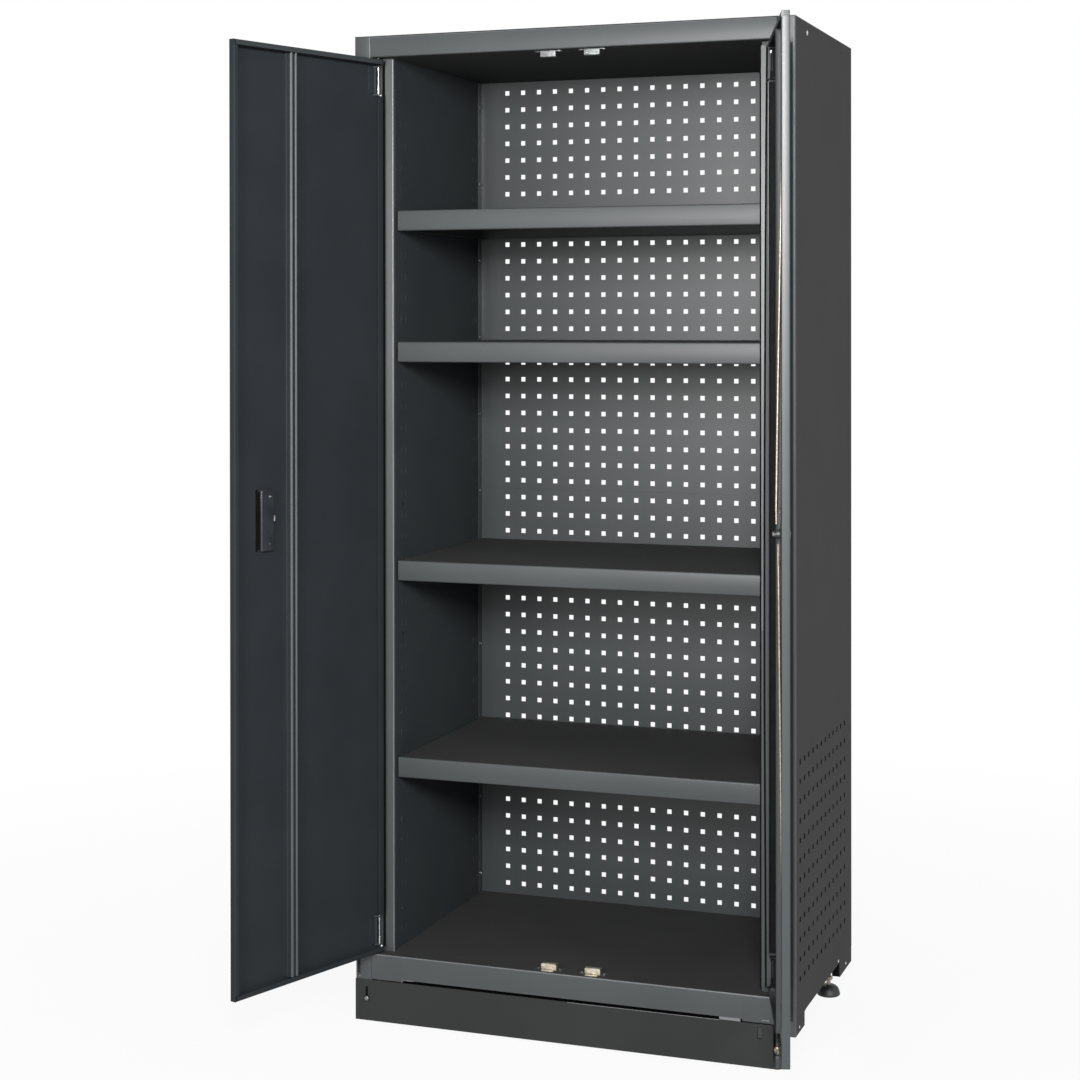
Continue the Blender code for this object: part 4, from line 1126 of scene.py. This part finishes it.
# Every node that still shows keeps its shape and takes the usual finish of its slot
shown = 0
for name, node in frame["nodes"].items():
    if node.hide_render:
        continue
    shown += 1
    for place in node.material_slots:
        base = place.material.name.split(".")[0] if place.material else ""
        usual = slots.get(base, (coat,))[0]
        place.material = matCoat if name in ("floor_panel", "ceiling_panel") else usual
print("nodes that show:", shown)


# Camera where the photograph was taken
view = named(dict(
    focal=70.616, sensor=36.0, shift=-0.19473, yaw=0.345209, pitch=0.0041004, roll=-0.00091515,
    position=(1.3676, -3.9610, 1.43734)))


def makeCamera():
    v = view
    right = Vector((cos(v.yaw), sin(v.yaw), 0.0))
    ahead = Vector((-sin(v.yaw), cos(v.yaw), 0.0)) * cos(v.pitch) + Vector((0, 0, -sin(v.pitch)))
    up = right.cross(ahead)
    across = right * cos(v.roll) + up * sin(v.roll)
    over = up * cos(v.roll) - right * sin(v.roll)
    lens = bpy.data.cameras.new("photoCamera")
    lens.sensor_width = v.sensor
    lens.lens = v.focal
    lens.shift_y = v.shift
    camera = bpy.data.objects.new("photoCamera", lens)
    scene.collection.objects.link(camera)
    turn = Matrix((across, over, -ahead)).transposed().to_4x4()
    camera.matrix_world = Matrix.Translation(home + Vector(v.position)) @ turn
    scene.camera = camera
    scene.view_settings.view_transform = "Standard"


# Pale floor that keeps the shadow, white surround, soft lamps
studio = named(dict(
    floorHalf=30.0, floorTone="#d2d2d0", floorRoughness=0.9, nearGlow=0.92, near=0.5, far=3.0,
    surround=0.12, white=(1.0, 1.0, 1.0, 1.0)))
# each lamp's name, place, target, size in m and power in W
lamps = (("key", (1.40, -3.96, 2.25), (0.0, 0.2, 1.1), (0.8, 0.75), 200.0),
         ("sheen", (-0.35, -4.40, 1.75), (0.0, 0.2, 1.3), (0.8, 0.8), 90.0),
         ("right", (2.90, -2.60, 1.80), (0.0, 0.1, 1.1), (0.5, 0.9), 44.0),
         ("top", (-0.40, -1.00, 3.30), (0.0, 0.0, 0.5), (1.6, 0.3), 7.0))


def raysThatSee(tree):
    # camera rays, and the mirrored and transmitted ones, so that metal shows the white surround too
    path = addNode(tree, "ShaderNodeLightPath")
    either = addNode(tree, "ShaderNodeMath", {0: path.outputs["Is Camera Ray"],
                                              1: path.outputs["Is Glossy Ray"]}, operation="MAXIMUM")
    return addNode(tree, "ShaderNodeMath", {0: either.outputs[0], 1: path.outputs["Is Transmission Ray"]},
                   operation="MAXIMUM").outputs[0]


def makeFloor():
    s = studio
    r = s.floorHalf
    bm = bmesh.new()
    bm.faces.new([bm.verts.new((x, y, 0.0)) for x, y in ((-r, -r), (r, -r), (r, r), (-r, r))])
    mesh = bpy.data.meshes.new("studioFloor")
    bm.to_mesh(mesh)
    bm.free()
    floor = bpy.data.objects.new("studioFloor", mesh)
    scene.collection.objects.link(floor)
    # Matt paper: takes the soft shadow, and glows to white away from the cabinet
    material, tree, shader, place = newFinish("palePaperFloor")
    shader.inputs["Base Color"].default_value = paint(s.floorTone)
    shader.inputs["Roughness"].default_value = s.floorRoughness
    glow = addNode(tree, "ShaderNodeEmission", {"Color": s.white, "Strength": 1.0})
    reach = addNode(tree, "ShaderNodeVectorMath", {0: place}, operation="LENGTH").outputs["Value"]
    glowing = addNode(tree, "ShaderNodeMapRange", {"Value": reach, "From Min": s.near, "From Max": s.far,
                                                   "To Min": s.nearGlow, "To Max": 1.0})
    seen = addNode(tree, "ShaderNodeMath", {0: raysThatSee(tree), 1: glowing.outputs["Result"]},
                   operation="MULTIPLY")
    mixed = addNode(tree, "ShaderNodeMixShader", {0: seen.outputs[0], 1: shader.outputs[0],
                                                  2: glow.outputs[0]})
    tree.links.new(mixed.outputs[0], tree.nodes["Material Output"].inputs["Surface"])
    mesh.materials.append(material)


def makeLight():
    world = bpy.data.worlds.new("whiteSurround")
    scene.world = world
    world.use_nodes = True
    tree = world.node_tree
    level = addNode(tree, "ShaderNodeMapRange", {"Value": raysThatSee(tree), "To Min": studio.surround,
                                                 "To Max": 1.0})
    tree.links.new(level.outputs["Result"], tree.nodes["Background"].inputs["Strength"])
    tree.nodes["Background"].inputs["Color"].default_value = studio.white
    for name, position, target, size, power in lamps:
        light = bpy.data.lights.new(f"{name}Lamp", "AREA")
        light.shape = "RECTANGLE"
        light.size, light.size_y = size
        light.energy = power
        lamp = bpy.data.objects.new(f"{name}Lamp", light)
        scene.collection.objects.link(lamp)
        lamp.location = home + Vector(position)
        lamp.rotation_euler = (home + Vector(target) - lamp.location).to_track_quat("-Z", "Y").to_euler()


makeCamera()
makeFloor()
makeLight()
print("camera and studio ready")
